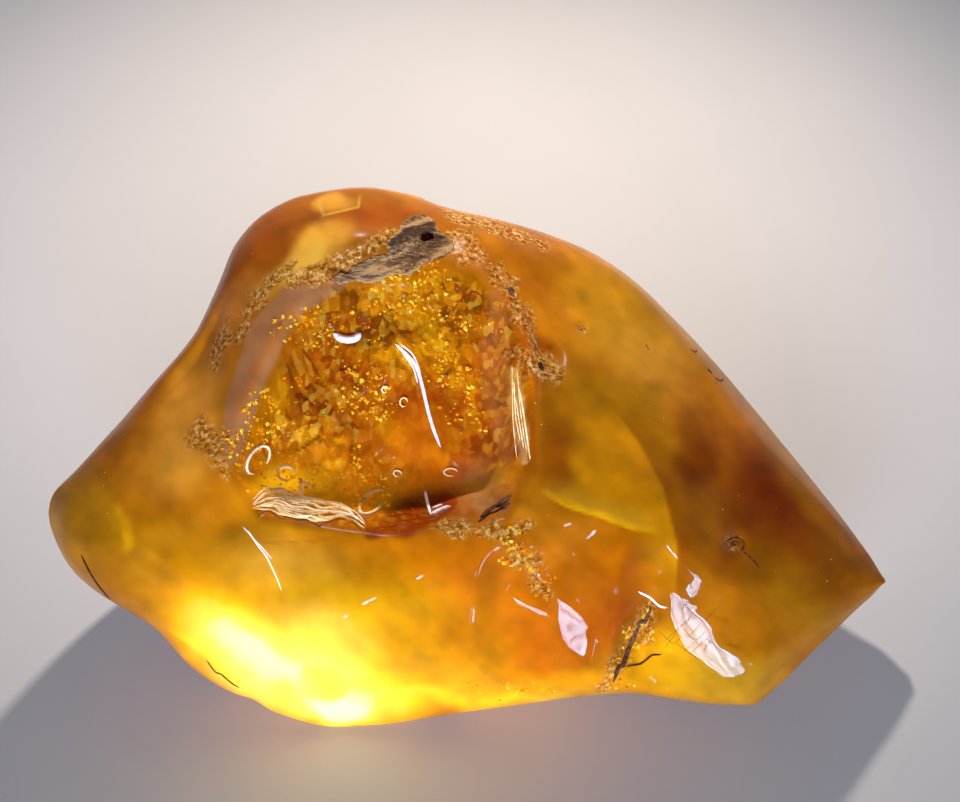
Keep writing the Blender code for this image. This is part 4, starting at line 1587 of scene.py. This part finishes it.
@dataclass
class Details:
    """Everything small that lies on the amber or in its hollows.

    Attributes:
        face: the broad face.
        grain_bands: where the rind flaked off in grains.
        glitter_bands: where flakes lie thick.
        crust_bands: where weathered crust is left.
        crust_hole: a pit through the crust.
        crust_thinned: where the crust is worn thin.
        fibre_line: the line of the torn bundle of fibre.
        fibre_width: half of its width along x.
        fibre_strands: how many fibres it has.
        scratch_count: how many scratches the larger flat has.
        loops: open loops of thread, as middle, two reaches, turn and half width.
        cracks: hair cracks and a cleft, drawn dark.
        edges: painted highlights: thin pale strands on crests, for the windows' reflections there.
    """

    face: Face
    grain_bands: tuple[Band, ...] = (
        Band(((-22.9, 25.4), (-26.2, 22.8), (-28.7, 19.2), (-29.9, 15.6)), 0.9, 0.7, 11),
        Band(((-31.6, 18), (-32.8, 13)), 1.3, 1.2, 21),
        Band(((-23.2, 23), (-17.4, 25.2), (-12.8, 27.4), (-9.8, 29.2)), 1.5, 0.8, 12),
        Band(((-3.4, 28.8), (-0.6, 28), (1.4, 26.6)), 1.5, 0.9, 22),
        Band(((-34.4, 5.6), (-33.2, 2), (-31.6, -1)), 2, 0.8, 13),
        Band(((5.4, 13.8), (8.6, 12.8), (11.6, 10.6)), 1.8, 0.8, 14),
        Band(((3.8, -8.5), (7.5, -13), (9.6, -17)), 1.2, 1.1, 15),
        Band(((-3.4, 32.5), (2.5, 30.6), (9.8, 28)), 0.9, 0.7, 16),
        Band(((2.4, 25.8), (5.8, 21), (8.4, 15)), 0.9, 1, 17),
        Band(((23, -18.6), (20.2, -23.2), (17.2, -29.2)), 1.4, 0.9, 18),
        Band(((-4.5, -8.4), (1.5, -8.8), (7.4, -8.2)), 1, 1, 20),
        Band(((33.2, -10.3), (35, -11)), 0.8, 0.8, 23),
        Band(((13.9, 17.4), (14.8, 16.8)), 0.5, 0.6, 24),
    )
    glitter_bands: tuple[Band, ...] = (
        Band(((-28.5, 2), (-24.5, -1), (-18, -2.6), (-13, -4.4)), 3.2, 1, 41),
        Band(((-27, 8), (-26.4, 3)), 1.8, 1, 42),
        Band(((-23, 17.5), (-14, 20), (-5, 20), (2, 17)), 3.4, 1.1, 43),
        Band(((-17, 12), (-12, 8)), 2.2, 1.2, 44),
        Band(((-5, 16), (-1.5, 10), (0, 5)), 1.8, 1.2, 45),
        Band(((22.6, -19), (20.6, -24), (18.6, -29.6)), 1.6, 1, 46),
        Band(((3.8, -8.5), (7.5, -13), (9.6, -17)), 1.4, 1.1, 48),
        Band(((0, -29.4), (6, -29.4), (12.5, -30)), 0.9, 1.1, 49),
    )
    crust_bands: tuple[Band, ...] = (
        Band(((-17.2, 23.2), (-15, 23.8), (-12, 24.7)), 0.8, 0.7, 33),
        Band(((-14.4, 24.1), (-11, 25), (-8, 26.2), (-4, 27.2)), 1.7, 0.35, 31),
        Band(((-8.8, 27.8), (-5.8, 28.8), (-3.6, 28.3)), 2.2, 0.6, 32),
    )
    crust_hole: Mound = Mound(-5.6, 29, 1.1, 0.7, 20, 1)
    crust_thinned: Mound = Mound(-11.8, 24.4, 4.5, 2, 20, 0.55)
    fibre_line: Points = (
        (-27.6, -5.4), (-25.6, -4.7), (-22.6, -5.6), (-19.2, -6), (-16.2, -6.3), (-13.4, -7.8),
    )
    fibre_width: Points = ((-27.6, 0.5), (-24.5, 1.4), (-20, 1.2), (-13.4, 0.35))
    fibre_strands: int = 13
    scratch_count: int = 16
    loops: tuple[tuple[float, float, float, float, float, float], ...] = (
        (-27.2, 0.2, 1.1, 2, -30, 0.19), (-23.8, -1.6, 1.1, 0.9, 0, 0.21),
        (-21.2, -3.8, 0.7, 1.1, 20, 0.2), (-12.6, -5.2, 2, 1.1, 40, 0.24),
        (-2.6, -1.4, 0.9, 0.5, 0, 0.1), (-9.4, -1.6, 0.6, 0.4, -20, 0.1),
        (-8.6, 7.6, 0.5, 0.6, 0, 0.12), (-11, 9.2, 0.45, 0.45, 0, 0.12),
    )
    cracks: tuple[Strand, ...] = (
        lying(0, ((-50.2, -12), (-48.6, -15.2), (-46.9, -18)), 0.16),
        lying(0, ((34.8, -11.4), (36.2, -12.6), (37.4, -13.9)), 0.1),
        lying(0.2, ((23.2, -18.4), (21.8, -21), (20.4, -24), (18.3, -28.4)), 0.3, 0.9, 3),
        lying(0.1, ((24.6, -24.6), (22, -26.2), (20, -26.8)), 0.12, 1, 5),
        lying(0.1, ((-34.2, -25.6), (-31.6, -28.6), (-30, -30.2)), 0.12, 0.8, 7),
        Strand(((1.2, -6.9, 0.1), (3, -5.9, 0), (5.2, -4.2, 0.1)), 0.36, 0.3, 9),
        Strand(((0.9, -7.3, 0.1), (3.2, -6.6, 0), (5, -5, 0.1)), 0.2, 0.5, 10),
        lying(0.25, ((4.9, 22.2), (5.5, 21.2)), 0.4, 0.5, 11),
        lying(0.2, ((8.8, 12.4), (9.1, 11.4)), 0.35, 0.5, 13),
        lying(0.05, ((33, -10.2), (34.2, -9.6), (35.4, -10.6), (34.9, -11.8)), 0.09, 0.5, 19),
        lying(0, ((29, 14.7), (29.6, 14.2), (30, 14.6)), 0.1),
        lying(0, ((31.2, 12), (31.9, 11.4)), 0.12),
        lying(0, ((32.2, 10.9), (33, 10.4), (33.6, 10.7)), 0.1),
        lying(0, ((22.8, 15.2), (23.3, 14.4)), 0.08),
    )

    # Painted highlights: pale strands where crests would mirror the windows.
    edges: tuple[Strand, ...] = (
        lying(
            0.1, ((-9.7, 15), (-8, 13.4), (-7, 12.2), (-6.2, 9.6), (-5.2, 5.4), (-3.9, 1.8)), 0.24, 0.1, 1
        ),
        lying(0.1, ((-9.2, 15.1), (-7.4, 13.6), (-6.4, 11.4)), 0.1, 0.1, 2),
        lying(0.1, ((-8.9, 14.2), (-7.4, 12), (-6.8, 10)), 0.09, 0.1, 3),
        lying(0.2, ((-17.6, 16.4), (-16.7, 15.8), (-15.7, 15.6), (-14.8, 15.8), (-14.1, 16.5)), 0.5),
        lying(0, ((21.4, -16.6), (23, -17.5), (25.2, -18.9)), 0.17, 0.3, 8),
        lying(0, ((-29, -8.1), (-27, -10.6), (-25.3, -13.1), (-24, -16.2)), 0.1, 0.3, 5),
        lying(0, ((-28.4, -8.5), (-26.6, -10.8), (-25.2, -12.4)), 0.08, 0.2, 6),
        lying(0.2, ((-5.9, -3.8), (-5.6, -5.2), (-5.1, -6.8)), 0.2),
        lying(0.2, ((-5.2, -6.8), (-3.9, -6.2), (-2.6, -5.7)), 0.3),
        lying(0.2, ((-5, -6), (-3.6, -5.5)), 0.16),
    )

    def build(self) -> None:
        """Makes the crust, the flakes, the dust, the fibre, the cracks and the painted highlight lines."""
        TornPatch(
            "weathered_crust", self.face, self.crust_bands, thickness=0.3, roughness=0.22,
            grain=FaceNoise(0.8, 1.0, Seed.CRUST), step=0.18,
            hole=self.crust_hole, thinned=self.crust_thinned,
        ).build(CrustFinish().make())
        glitter = Density(self.glitter_bands, on_bands=0.45, in_window=0.12, anywhere=0.0)
        sparse = Density(self.grain_bands, on_bands=0.0, in_window=0.0, anywhere=0.04)
        Spangles(
            "fracture_spangles", self.face, count=3300, smallest=0.06, largest=0.48, seed=Seed.FLAKES
        ).build(SpangleFinish().make(), glitter)
        Spangles(
            "dust", self.face, count=520, smallest=0.05, largest=0.11, seed=Seed.DUST
        ).build(GrainFinish().make(), sparse)
        for name, strands, finish in (
            ("dry_fibre", self.fibre() + self.rings() + self.strip(), FibreFinish()),
            ("dark_cracks", self.cracks + self.scratches(), DarkCrackFinish()),
            ("painted_highlight_lines", self.edges, PaintedHighlightFinish()),
        ):
            place_piece(strand_mesh(name, self.face, strands), finish.make())

    def fibre(self) -> tuple[Strand, ...]:
        """A torn bundle of strands side by side: each keeps its own share of the bundle's changing width.

        Returns:
            The strands.
        """
        strands = []
        for i in range(self.fibre_strands):
            side = 2 * i / (self.fibre_strands - 1) - 1
            first, last = self.fibre_line[0][0] + 0.9 * (i % 3), self.fibre_line[-1][0] - 0.8 * (i * 3 % 5)
            x = np.linspace(first, last, 9)
            rise = curve_through(x, self.fibre_line) + side * curve_through(x, self.fibre_width)
            proud = 0.9 + 0.5 * np.sin(2.2 * x + side)
            strands.append(Strand(tuple(zip(x, rise, proud)), 0.13 + 0.07 * (i % 2), 0.3, i))
        return tuple(strands)

    def scratches(self) -> tuple[Strand, ...]:
        """Crossed hair scratches of the hand grinding on the larger flat, at random places and lengths.

        Returns:
            The scratches.
        """
        rng = np.random.default_rng(Seed.SCRATCHES)
        made = []
        for i in range(self.scratch_count):
            x, rise = rng.normal((28.8, -21.4), (1.7, 1.8))
            turn = math.radians(rng.normal(52.0 if i % 3 else -38.0, 7.0))
            reach = rng.uniform(0.8, 2.2)
            ends = ((x + k * reach * math.cos(turn), rise + k * reach * math.sin(turn)) for k in (-1, 0, 1))
            made.append(lying(0.0, tuple(ends), 0.03))
        return tuple(made)

    def strip(self) -> tuple[Strand, ...]:
        """Fine fibres side by side in the pale strip down the right wall, spread wider towards its foot.

        Returns:
            The fibres.
        """
        made = []
        for i in range(5):
            head, waist = (5.3 + 0.22 * i, 12.6 - 1.1 * ((2 * i) % 5)), (5.4 + 0.34 * i, 6.0)
            foot = (5.9 + 0.42 * i, 0.2 + 0.8 * ((3 * i) % 4))
            made.append(lying(0.0, (head, waist, foot), 0.09 + 0.05 * (i == 4), 0.15, 20 + i))
        return tuple(made)

    def rings(self) -> tuple[Strand, ...]:
        """Open loops of thread: ellipses of which the last sixth is missing.

        Returns:
            The loops.
        """
        made = []
        for i, (x, rise, reach_x, reach_rise, turn, radius) in enumerate(self.loops):
            c, s = math.cos(math.radians(turn)), math.sin(math.radians(turn))
            line = []
            for angle in np.linspace(0, 2 * math.pi * 5 / 6, 14):
                a, b = reach_x * math.cos(angle), reach_rise * math.sin(angle)
                line.append((x + a * c - b * s, rise + a * s + b * c))
            made.append(lying(0.35, tuple(line), radius, 0.0, i))
        return tuple(made)


# ---- finishes
def set_layer(mesh: Mesh, name: str, values: Array) -> None:
    """Stores one number per vertex."""
    mesh.attributes.new(name, "FLOAT", "POINT").data.foreach_set("value", values.astype(np.float32))


def set_paint(mesh: Mesh, name: str, colours: Array) -> None:
    """Stores one linear colour per vertex."""
    opaque = np.concatenate([colours, np.ones((len(colours), 1))], axis=1).astype(np.float32)
    mesh.attributes.new(name, "FLOAT_COLOR", "POINT").data.foreach_set("color", opaque.ravel())


def add_node(
    tree: Tree, kind: str, settings: dict | None = None, inputs: dict | None = None, stops: Stops = ()
) -> bpy.types.Node:
    """Adds a shader node.

    Args:
        tree: the node tree.
        kind: the node's type name.
        settings: the node's own properties.
        inputs: socket name or number to a value, or to the output socket that drives it.
        stops: a colour ramp's stops as (place, linear colour).

    Returns:
        The node.
    """
    node = tree.nodes.new(kind)
    for name, value in (settings or {}).items():
        setattr(node, name, value)
    for name, value in (inputs or {}).items():
        if isinstance(value, bpy.types.NodeSocket):
            tree.links.new(value, node.inputs[name])
        else:
            node.inputs[name].default_value = value
    for i, (place, colour) in enumerate(stops):
        ramp = node.color_ramp.elements
        stop = ramp[i] if i < len(ramp) else ramp.new(place)
        stop.position, stop.color = place, (*colour, 1.0)
    return node


def new_material(name: str) -> tuple[Material, Tree]:
    """An empty material and its node tree. Its emission, which is painted light, isn't sampled as a lamp,
    which would be slow.

    Args:
        name: its name.

    Returns:
        The material and the tree.
    """
    material = bpy.data.materials.new(name)
    material.use_nodes = True
    material.cycles.emission_sampling = "NONE"
    material.node_tree.nodes.clear()
    return material, material.node_tree


def object_place(tree: Tree) -> Socket:
    """The place on the piece, in metres."""
    return add_node(tree, "ShaderNodeTexCoord").outputs["Object"]


def attribute(tree: Tree, name: str, output: str = "Fac") -> Socket:
    """A value that is stored at every vertex."""
    return add_node(tree, "ShaderNodeAttribute", {"attribute_name": name}).outputs[output]


def grit_noise(tree: Tree, place: Socket, size_mm: float, detail: float, roughness: float) -> Socket:
    """Noise with grains of a real size: its scale is 1 over that size.

    Args:
        tree: the node tree.
        place: where to read it.
        size_mm: a grain's size.
        detail: how many layers it has.
        roughness: how strong its finer layers are.

    Returns:
        The noise.
    """
    return add_node(tree, "ShaderNodeTexNoise", {}, {
        "Vector": place, "Scale": 1 / (size_mm * MM), "Detail": detail, "Roughness": roughness,
    }).outputs["Fac"]


def maths(tree: Tree, operation: str, *values: Drive) -> Socket:
    """The outcome of one sum."""
    return add_node(tree, "ShaderNodeMath", {"operation": operation}, dict(enumerate(values))).outputs[0]


def blend(tree: Tree, share: Drive, under: Drive, over: Drive, way: str = "MIX") -> Socket:
    """One colour laid over another by a share."""
    settings = {"data_type": "RGBA", "blend_type": way}
    return add_node(tree, "ShaderNodeMix", settings, {0: share, 6: under, 7: over}).outputs[2]


def ramp(tree: Tree, share: Socket, stops: Stops) -> Socket:
    """A colour that follows a share, through stops of (place, linear colour)."""
    return add_node(tree, "ShaderNodeValToRGB", {}, {"Fac": share}, stops).outputs["Color"]


def hex_stops(*stops: tuple[float, str]) -> Stops:
    """Stops of (place, hex colour) with their colours made linear."""
    return tuple((place, linear(code)) for place, code in stops)


def bump(tree: Tree, strength: Drive, height_mm: float, height: Socket) -> Socket:
    """Normals that follow a height.

    Args:
        tree: the node tree.
        strength: how much of it there is.
        height_mm: how high it stands at a height of 1.
        height: the height.

    Returns:
        The normals.
    """
    return add_node(tree, "ShaderNodeBump", {}, {
        "Strength": strength, "Distance": height_mm * MM, "Height": height,
    }).outputs[0]


@dataclass(frozen=True)
class AmberFinish:
    """Baltic amber ground and polished by hand: see-through, clouded inside, with a glossy outer skin.

    Attributes:
        ior: amber's index of refraction.
        clear: share of the light that passes through instead of being thrown back by the clouds.
        polish: roughness of the outer skin, low enough to mirror a window.
        coat: how strongly that skin mirrors.
        blur: how much the clouds blur what passes through.
        absorb_colour: the tint that light takes on inside.
        absorb_density: how fast it does, per metre.
        swirl_mm: size of the cloudy swirls.
        swirl_range: how much they darken and lighten.
        chip_mm: size of the smallest chips in the crazed window.
        chip_stops: their colours, from deep brown to gold; the bright gold partly stands in for light that the
            chips catch.
        chip_share: how strongly they show.
        chip_height_mm: how far they stand out.
        grain_mm: size of the grains where the rind flaked off.
        grain_stops: their colours, from brown to pale gold; the palest partly stand in for light that the
            grains catch.
        grain_share: how strongly they show.
        painted_glow_stops: the painted light that the cloudy heel sends out as emission, from none to near
            white.
    """

    ior: float = 1.54
    clear: float = 0.5
    polish: float = 0.035
    coat: float = 0.26
    blur: float = 0.3
    absorb_colour: Colour = (0.976, 0.80, 0.04)
    absorb_density: float = 180.0
    swirl_mm: float = 9.0
    swirl_range: Pair = (0.82, 1.18)
    chip_mm: float = 0.7
    chip_stops: Stops = hex_stops((0.2, "#4A1A02"), (0.5, "#A85404"), (0.78, "#F0A410"), (0.95, "#FFE048"))
    chip_share: float = 0.38
    chip_height_mm: float = 0.2
    grain_mm: float = 0.6
    grain_stops: Stops = hex_stops(
        (0.36, "#764008"), (0.46, "#B47424"), (0.54, "#D89C38"), (0.66, "#FFE8A0")
    )
    grain_share: float = 0.85
    painted_glow_stops: Stops = (
        (0, (0, 0, 0)), (0.2, (0.26, 0.11, 0.001)), (0.45, (0.75, 0.42, 0.005)),
        (0.75, (0.95, 0.85, 0.1)), (1, (1, 1, 0.75)),
    )

    def make(self) -> Material:
        """Builds the material's nodes.

        Returns:
            The material.
        """
        material, tree = new_material("polished_baltic_amber")
        place, body = object_place(tree), attribute(tree, "body", "Color")
        crazed, grain = attribute(tree, "crazed"), attribute(tree, "grain")

        swirl = grit_noise(tree, place, self.swirl_mm, 2.0, 0.7)
        swirl_tone = add_node(tree, "ShaderNodeMapRange", {}, {
            "Value": swirl, "From Min": 0.3, "From Max": 0.7,
            "To Min": self.swirl_range[0], "To Max": self.swirl_range[1],
        }).outputs["Result"]
        colour = blend(tree, 1.0, body, swirl_tone, "MULTIPLY")

        cells = add_node(tree, "ShaderNodeTexVoronoi", {"voronoi_dimensions": "2D"}, {
            "Vector": place, "Scale": 1 / (self.chip_mm * MM),
        }).outputs["Color"]
        chip = add_node(tree, "ShaderNodeSeparateColor", {}, {"Color": cells}).outputs[0]
        chip_share = maths(tree, "MULTIPLY", crazed, self.chip_share)
        colour = blend(tree, chip_share, colour, ramp(tree, chip, self.chip_stops))

        granule = grit_noise(tree, place, self.grain_mm, 2.0, 0.8)
        grain_share = maths(tree, "MULTIPLY", grain, self.grain_share)
        colour = blend(tree, grain_share, colour, ramp(tree, granule, self.grain_stops))

        chipped = bump(tree, maths(tree, "MAXIMUM", crazed, grain), self.chip_height_mm, chip)
        # Emission: painted light read from the painted_glow layer.
        painted_glow = ramp(tree, attribute(tree, "painted_glow"), self.painted_glow_stops)
        shader = add_node(tree, "ShaderNodeBsdfPrincipled", {}, {
            "Base Color": colour, "Roughness": self.blur, "IOR": self.ior, "Transmission Weight": self.clear,
            "Specular IOR Level": 0.0, "Specular Tint": (0.0, 0.0, 0.0, 1.0),
            "Coat Weight": self.coat, "Coat IOR": self.ior, "Coat Roughness": self.polish,
            "Emission Color": painted_glow, "Emission Strength": 1.0, "Normal": chipped, "Coat Normal": chipped,
        })
        volume = add_node(tree, "ShaderNodeVolumeAbsorption", {}, {
            "Color": (*self.absorb_colour, 1.0), "Density": self.absorb_density,
        })
        add_node(tree, "ShaderNodeOutputMaterial", {}, {
            "Surface": shader.outputs["BSDF"], "Volume": volume.outputs["Volume"],
        })
        return material


@dataclass(frozen=True)
class GrainyFinish:
    """A rough opaque finish whose colour follows its grit: a noise of the grit's size, laid over a ramp.

    Attributes:
        name: the real material.
        dark: colour of its hollows.
        middle: its main colour.
        pale: colour of its high grains.
        grit_mm: size of a grain.
        stretch: how much longer grains are along x than along the other ways.
        roughness: how matt it is.
        bump_mm: how high grains stand.
        metal: how much it mirrors light in its own colour, as a thin air gap in a fracture does.
        painted_glint: painted light: how strongly it shines as emission in its own colour, for the light it
            would catch.
        height_share: how much the piece's own height counts beside the grit.
        places: where the three colours lie on that sum.
    """

    name: str
    dark: str
    middle: str
    pale: str
    grit_mm: float
    stretch: float = 1.0
    roughness: float = 0.6
    bump_mm: float = 0.2
    metal: float = 0.0
    painted_glint: float = 0.0
    height_share: float = 0.4
    places: tuple[float, float, float] = (0.5, 0.7, 0.9)

    def make(self) -> Material:
        """Builds the material's nodes.

        Returns:
            The material.
        """
        material, tree = new_material(self.name)
        place = add_node(tree, "ShaderNodeMapping", {}, {
            "Vector": object_place(tree), "Scale": (1 / self.stretch, 1.0, 1.0),
        }).outputs[0]
        grit = grit_noise(tree, place, self.grit_mm, 2.0, 0.7)
        both = maths(tree, "MULTIPLY_ADD", attribute(tree, "height"), self.height_share, grit)
        colour = ramp(tree, both, hex_stops(*zip(self.places, (self.dark, self.middle, self.pale))))
        shader = add_node(tree, "ShaderNodeBsdfPrincipled", {}, {
            "Base Color": colour, "Roughness": self.roughness, "IOR": AmberFinish.ior,
            "Metallic": self.metal, "Normal": bump(tree, 1.0, self.bump_mm, grit),
            # Emission: painted sparkle, set by painted_glint.
            "Emission Color": colour, "Emission Strength": self.painted_glint,
        })
        add_node(tree, "ShaderNodeOutputMaterial", {}, {"Surface": shader.outputs["BSDF"]})
        return material


@dataclass(frozen=True)
class CrustFinish(GrainyFinish):
    """The weathered rind that raw amber has under the sand: grey-brown, fibrous and matt."""

    name: str = "weathered_amber_rind"
    dark: str = "#402E22"
    middle: str = "#6C5038"
    pale: str = "#A68258"
    grit_mm: float = 0.3
    stretch: float = 6.0
    roughness: float = 0.75
    bump_mm: float = 0.3


@dataclass(frozen=True)
class GrainFinish(GrainyFinish):
    """Resin crumbled to fine golden grains where the rind flaked off."""

    name: str = "crumbled_amber"
    dark: str = "#6A3808"
    middle: str = "#BA7A2C"
    pale: str = "#F6D08A"
    grit_mm: float = 0.45
    roughness: float = 0.35


@dataclass(frozen=True)
class SpangleFinish(GrainyFinish):
    """Faces of small stress fractures, which send light back like gold leaf: their bright gold colour and
    emission are partly painted glitter.
    """

    name: str = "fracture_faces_and_painted_glitter"
    dark: str = "#E88404"
    middle: str = "#FFB412"
    pale: str = "#FFDC40"
    grit_mm: float = 2.0
    roughness: float = 0.33
    bump_mm: float = 0.0
    metal: float = 0.45
    painted_glint: float = 0.14


@dataclass(frozen=True)
class FibreFinish(GrainyFinish):
    """Dry plant fibre and threads of resin: pale and silky, with a faint painted sparkle sent out as emission.
    """

    name: str = "dry_fibre"
    dark: str = "#D8A048"
    middle: str = "#F4D896"
    pale: str = "#FFF6DC"
    grit_mm: float = 0.8
    stretch: float = 5.0
    roughness: float = 0.55
    bump_mm: float = 0.05
    painted_glint: float = 0.08


@dataclass(frozen=True)
class PaintedHighlightFinish(GrainyFinish):
    """Painted highlights: thin lilac-white glossy lines where facets meet, standing in for the windows'
    reflections on the crests.
    """

    name: str = "painted_highlight_edge"
    dark: str = "#DCC0C8"
    middle: str = "#F6E8EE"
    pale: str = "#FFFFFF"
    grit_mm: float = 0.8
    roughness: float = 0.2
    bump_mm: float = 0.0
    painted_glint: float = 0.15


@dataclass(frozen=True)
class DarkCrackFinish(GrainyFinish):
    """A dark matt colour along the hair cracks, scratches and cleft."""

    name: str = "dark_crack_colour"
    dark: str = "#1E100A"
    middle: str = "#3E2417"
    pale: str = "#6E4A36"
    grit_mm: float = 0.4
    roughness: float = 0.85


@dataclass(frozen=True)
class PaperFinish:
    """Matt pale paper under the piece, with the faint mottle of its fibres.

    Attributes:
        colour: the paper's own colour.
        mottle_mm: size of the mottle.
        mottle: how bright its darker parts are beside the paper.
        roughness: how matt it is.
    """

    colour: str = "#B6B3B1"
    mottle_mm: float = 1000 / 60
    mottle: float = 0.96
    roughness: float = 0.85

    def make(self) -> Material:
        """Builds the material's nodes.

        Returns:
            The material.
        """
        material, tree = new_material("matt_paper")
        fibres = grit_noise(tree, object_place(tree), self.mottle_mm, 1.0, 0.5)
        paper = linear(self.colour)
        colour = blend(tree, fibres, (*paper, 1.0), (*(self.mottle * c for c in paper), 1.0))
        shader = add_node(tree, "ShaderNodeBsdfPrincipled", {}, {
            "Base Color": colour, "Roughness": self.roughness,
        })
        add_node(tree, "ShaderNodeOutputMaterial", {}, {"Surface": shader.outputs["BSDF"]})
        return material


# ---- the studio
class Glass(Enum):
    """What a lamp shines through."""

    SOFTBOX = "AREA"
    LENS = "SPOT"


@dataclass(frozen=True)
class Lamp:
    """A studio lamp that points at a place on the floor or the piece.

    Attributes:
        name: what it is called.
        glass: a softbox or a lens.
        azimuth: 0 behind the camera, 90 at its right and 180 behind the piece, in degrees.
        elevation: height over the floor in degrees.
        distance: metres from its target.
        size: width and height of its glass in metres.
        power: in watts.
        colour: of its light.
        target: where it points, in metres.
        mirrored: whether the polished skin shows it.
        beam: the width of a lens's cone of light in degrees.
    """

    name: str
    glass: Glass
    azimuth: float
    elevation: float
    distance: float
    size: Pair
    power: float
    colour: str
    target: tuple[float, float, float] = (0.0, 0.0, 0.025)
    mirrored: bool = True
    beam: float = 50.0

    def build(self) -> None:
        """Hangs the lamp and aims it."""
        a, e = math.radians(self.azimuth), math.radians(self.elevation)
        back = np.array([math.sin(a) * math.cos(e), -math.cos(a) * math.cos(e), math.sin(e)])
        data = bpy.data.lights.new(self.name, self.glass.value)
        if self.glass is Glass.SOFTBOX:
            data.shape, (data.size, data.size_y) = "RECTANGLE", self.size
        else:
            data.shadow_soft_size, data.spot_blend = self.size[0], 1.0
            data.spot_size = math.radians(self.beam)
        data.energy, data.color = self.power, linear(self.colour)
        lamp = bpy.data.objects.new(self.name, data)
        bpy.context.scene.collection.objects.link(lamp)
        lamp.location = np.array(self.target) + back * self.distance
        lamp.visible_glossy = self.mirrored
        aim(lamp, np.array(self.target))


def aim(thing: Piece, target: Array) -> None:
    """Turns a lamp or camera to look at a point, with its own Y axis up.

    Args:
        thing: the lamp or camera.
        target: the point, in metres.
    """
    way = Vector(target) - thing.location
    thing.rotation_mode = "QUATERNION"
    thing.rotation_quaternion = way.to_track_quat("-Z", "Y")


@dataclass
class Studio:
    """A pale floor, soft lamps and the camera.

    Attributes:
        face: the broad face, which the camera looks at.
        focal: the lens's focal length in millimetres.
        sensor: the width of the camera's sensor in millimetres.
        view_width: the width of the view at the lump in millimetres.
        elevation: the camera's height over the floor in degrees.
        centre_x: where on the face the camera points, in millimetres.
        centre_rise: the same, up the face.
        floor_gap: how far the floor lies below the piece, in metres.
        floor_half: half of the floor's width in metres.
        world: how bright the air round the studio is.
        windows: the mirrored windows as elevation, height and their panes as azimuth, width and brightness
            in watts per square metre; the angles are in degrees.
        pane_distance: how far off the panes hang, in metres.
        lamps: the softer lamps.
    """

    face: Face
    focal: float = 180.0
    sensor: float = 36.0
    view_width: float = 126.0
    elevation: float = 50.0
    centre_x: float = 1.18
    centre_rise: float = 7.74
    floor_gap: float = 0.0003
    floor_half: float = 1.6
    world: float = 0.12
    windows: tuple[tuple[float, float, tuple[tuple[float, float, float], ...]], ...] = (
        (11.3, 3.6, (
            (8.8, 0.7, 280), (9.4, 0.3, 60), (9.8, 0.5, 230), (10.25, 0.3, 90), (10.8, 0.6, 210),
            (11.7, 0.9, 280),
        )),
        (6.6, 5, (
            (27.9, 0.7, 280), (28.5, 0.4, 80), (29.1, 0.6, 220), (29.6, 0.3, 90), (30.1, 0.6, 240),
            (30.7, 0.4, 100), (31.4, 0.8, 270),
        )),
    )
    pane_distance: float = 3.0
    lamps: tuple[Lamp, ...] = (
        Lamp(
            "key", Glass.LENS, azimuth=169.5, elevation=63.9, distance=0.151, size=(0.006, 0.006),
            power=1.55, colour="#FFF5EC", target=(-0.0033, 0.0412, 0.0), mirrored=False, beam=96.0,
        ),
        Lamp(
            "fill", Glass.SOFTBOX, azimuth=-6.0, elevation=14.0, distance=3.0, size=(1.75, 1.0),
            power=182.0, colour="#E6ECFF", mirrored=False,
        ),
    )

    def build(self) -> None:
        """Makes the floor, the lamps, the world and the camera."""
        scene = bpy.context.scene
        scene.view_settings.view_transform = "Standard"
        half = self.floor_half
        corners = np.array([(-half, -half, 0), (half, -half, 0), (half, half, 0), (-half, half, 0)], float)
        corners[:, 2] = -self.floor_gap
        floor = bpy.data.objects.new("floor", grid_mesh("floor", corners, [np.array([[0, 1, 2, 3]])]))
        floor.data.materials.append(PaperFinish().make())
        scene.collection.objects.link(floor)
        for lamp in self.lamps:
            lamp.build()
        self.hang_panes()
        world = bpy.data.worlds.new("studio")
        world.use_nodes = True
        world.node_tree.nodes["Background"].inputs["Color"].default_value = (*linear("#D6DEF0"), 1.0)
        world.node_tree.nodes["Background"].inputs["Strength"].default_value = self.world
        scene.world = world
        self.hang_camera()

    def hang_panes(self) -> None:
        """Hangs the narrow bright panes that the polished flats mirror."""
        panes = [(elevation, high, *pane) for elevation, high, row in self.windows for pane in row]
        for i, (elevation, high, azimuth, wide, glare) in enumerate(panes):
            size = (self.pane_distance * math.radians(wide), self.pane_distance * math.radians(high))
            name, power = f"window_pane_{i}", glare * size[0] * size[1]
            Lamp(name, Glass.SOFTBOX, azimuth, elevation, self.pane_distance, size, power, "#B8DCFF").build()

    def hang_camera(self) -> None:
        """Points the camera square at the broad face, so that its frame is view_width wide at the lump."""
        centre = self.face.lump.stand_up(np.array(self.centre_x), np.array(self.centre_rise), np.array(0.0))
        target = (centre + self.face.shift) * MM
        data = bpy.data.cameras.new("camera")
        data.lens, data.sensor_width = self.focal, self.sensor
        camera = bpy.data.objects.new("camera", data)
        bpy.context.scene.collection.objects.link(camera)
        bpy.context.scene.camera = camera
        e = math.radians(self.elevation)
        distance = self.view_width * MM * self.focal / self.sensor
        camera.location = target + distance * np.array([0.0, -math.cos(e), math.sin(e)])
        aim(camera, target)


def main() -> None:
    """Builds and dresses every piece, then the studio."""
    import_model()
    face = Face()
    AmberSkin(face).build()
    Details(face).build()
    Studio(face).build()


if __name__ == "__main__":
    logging.basicConfig(level=logging.INFO, format="%(message)s")
    main()
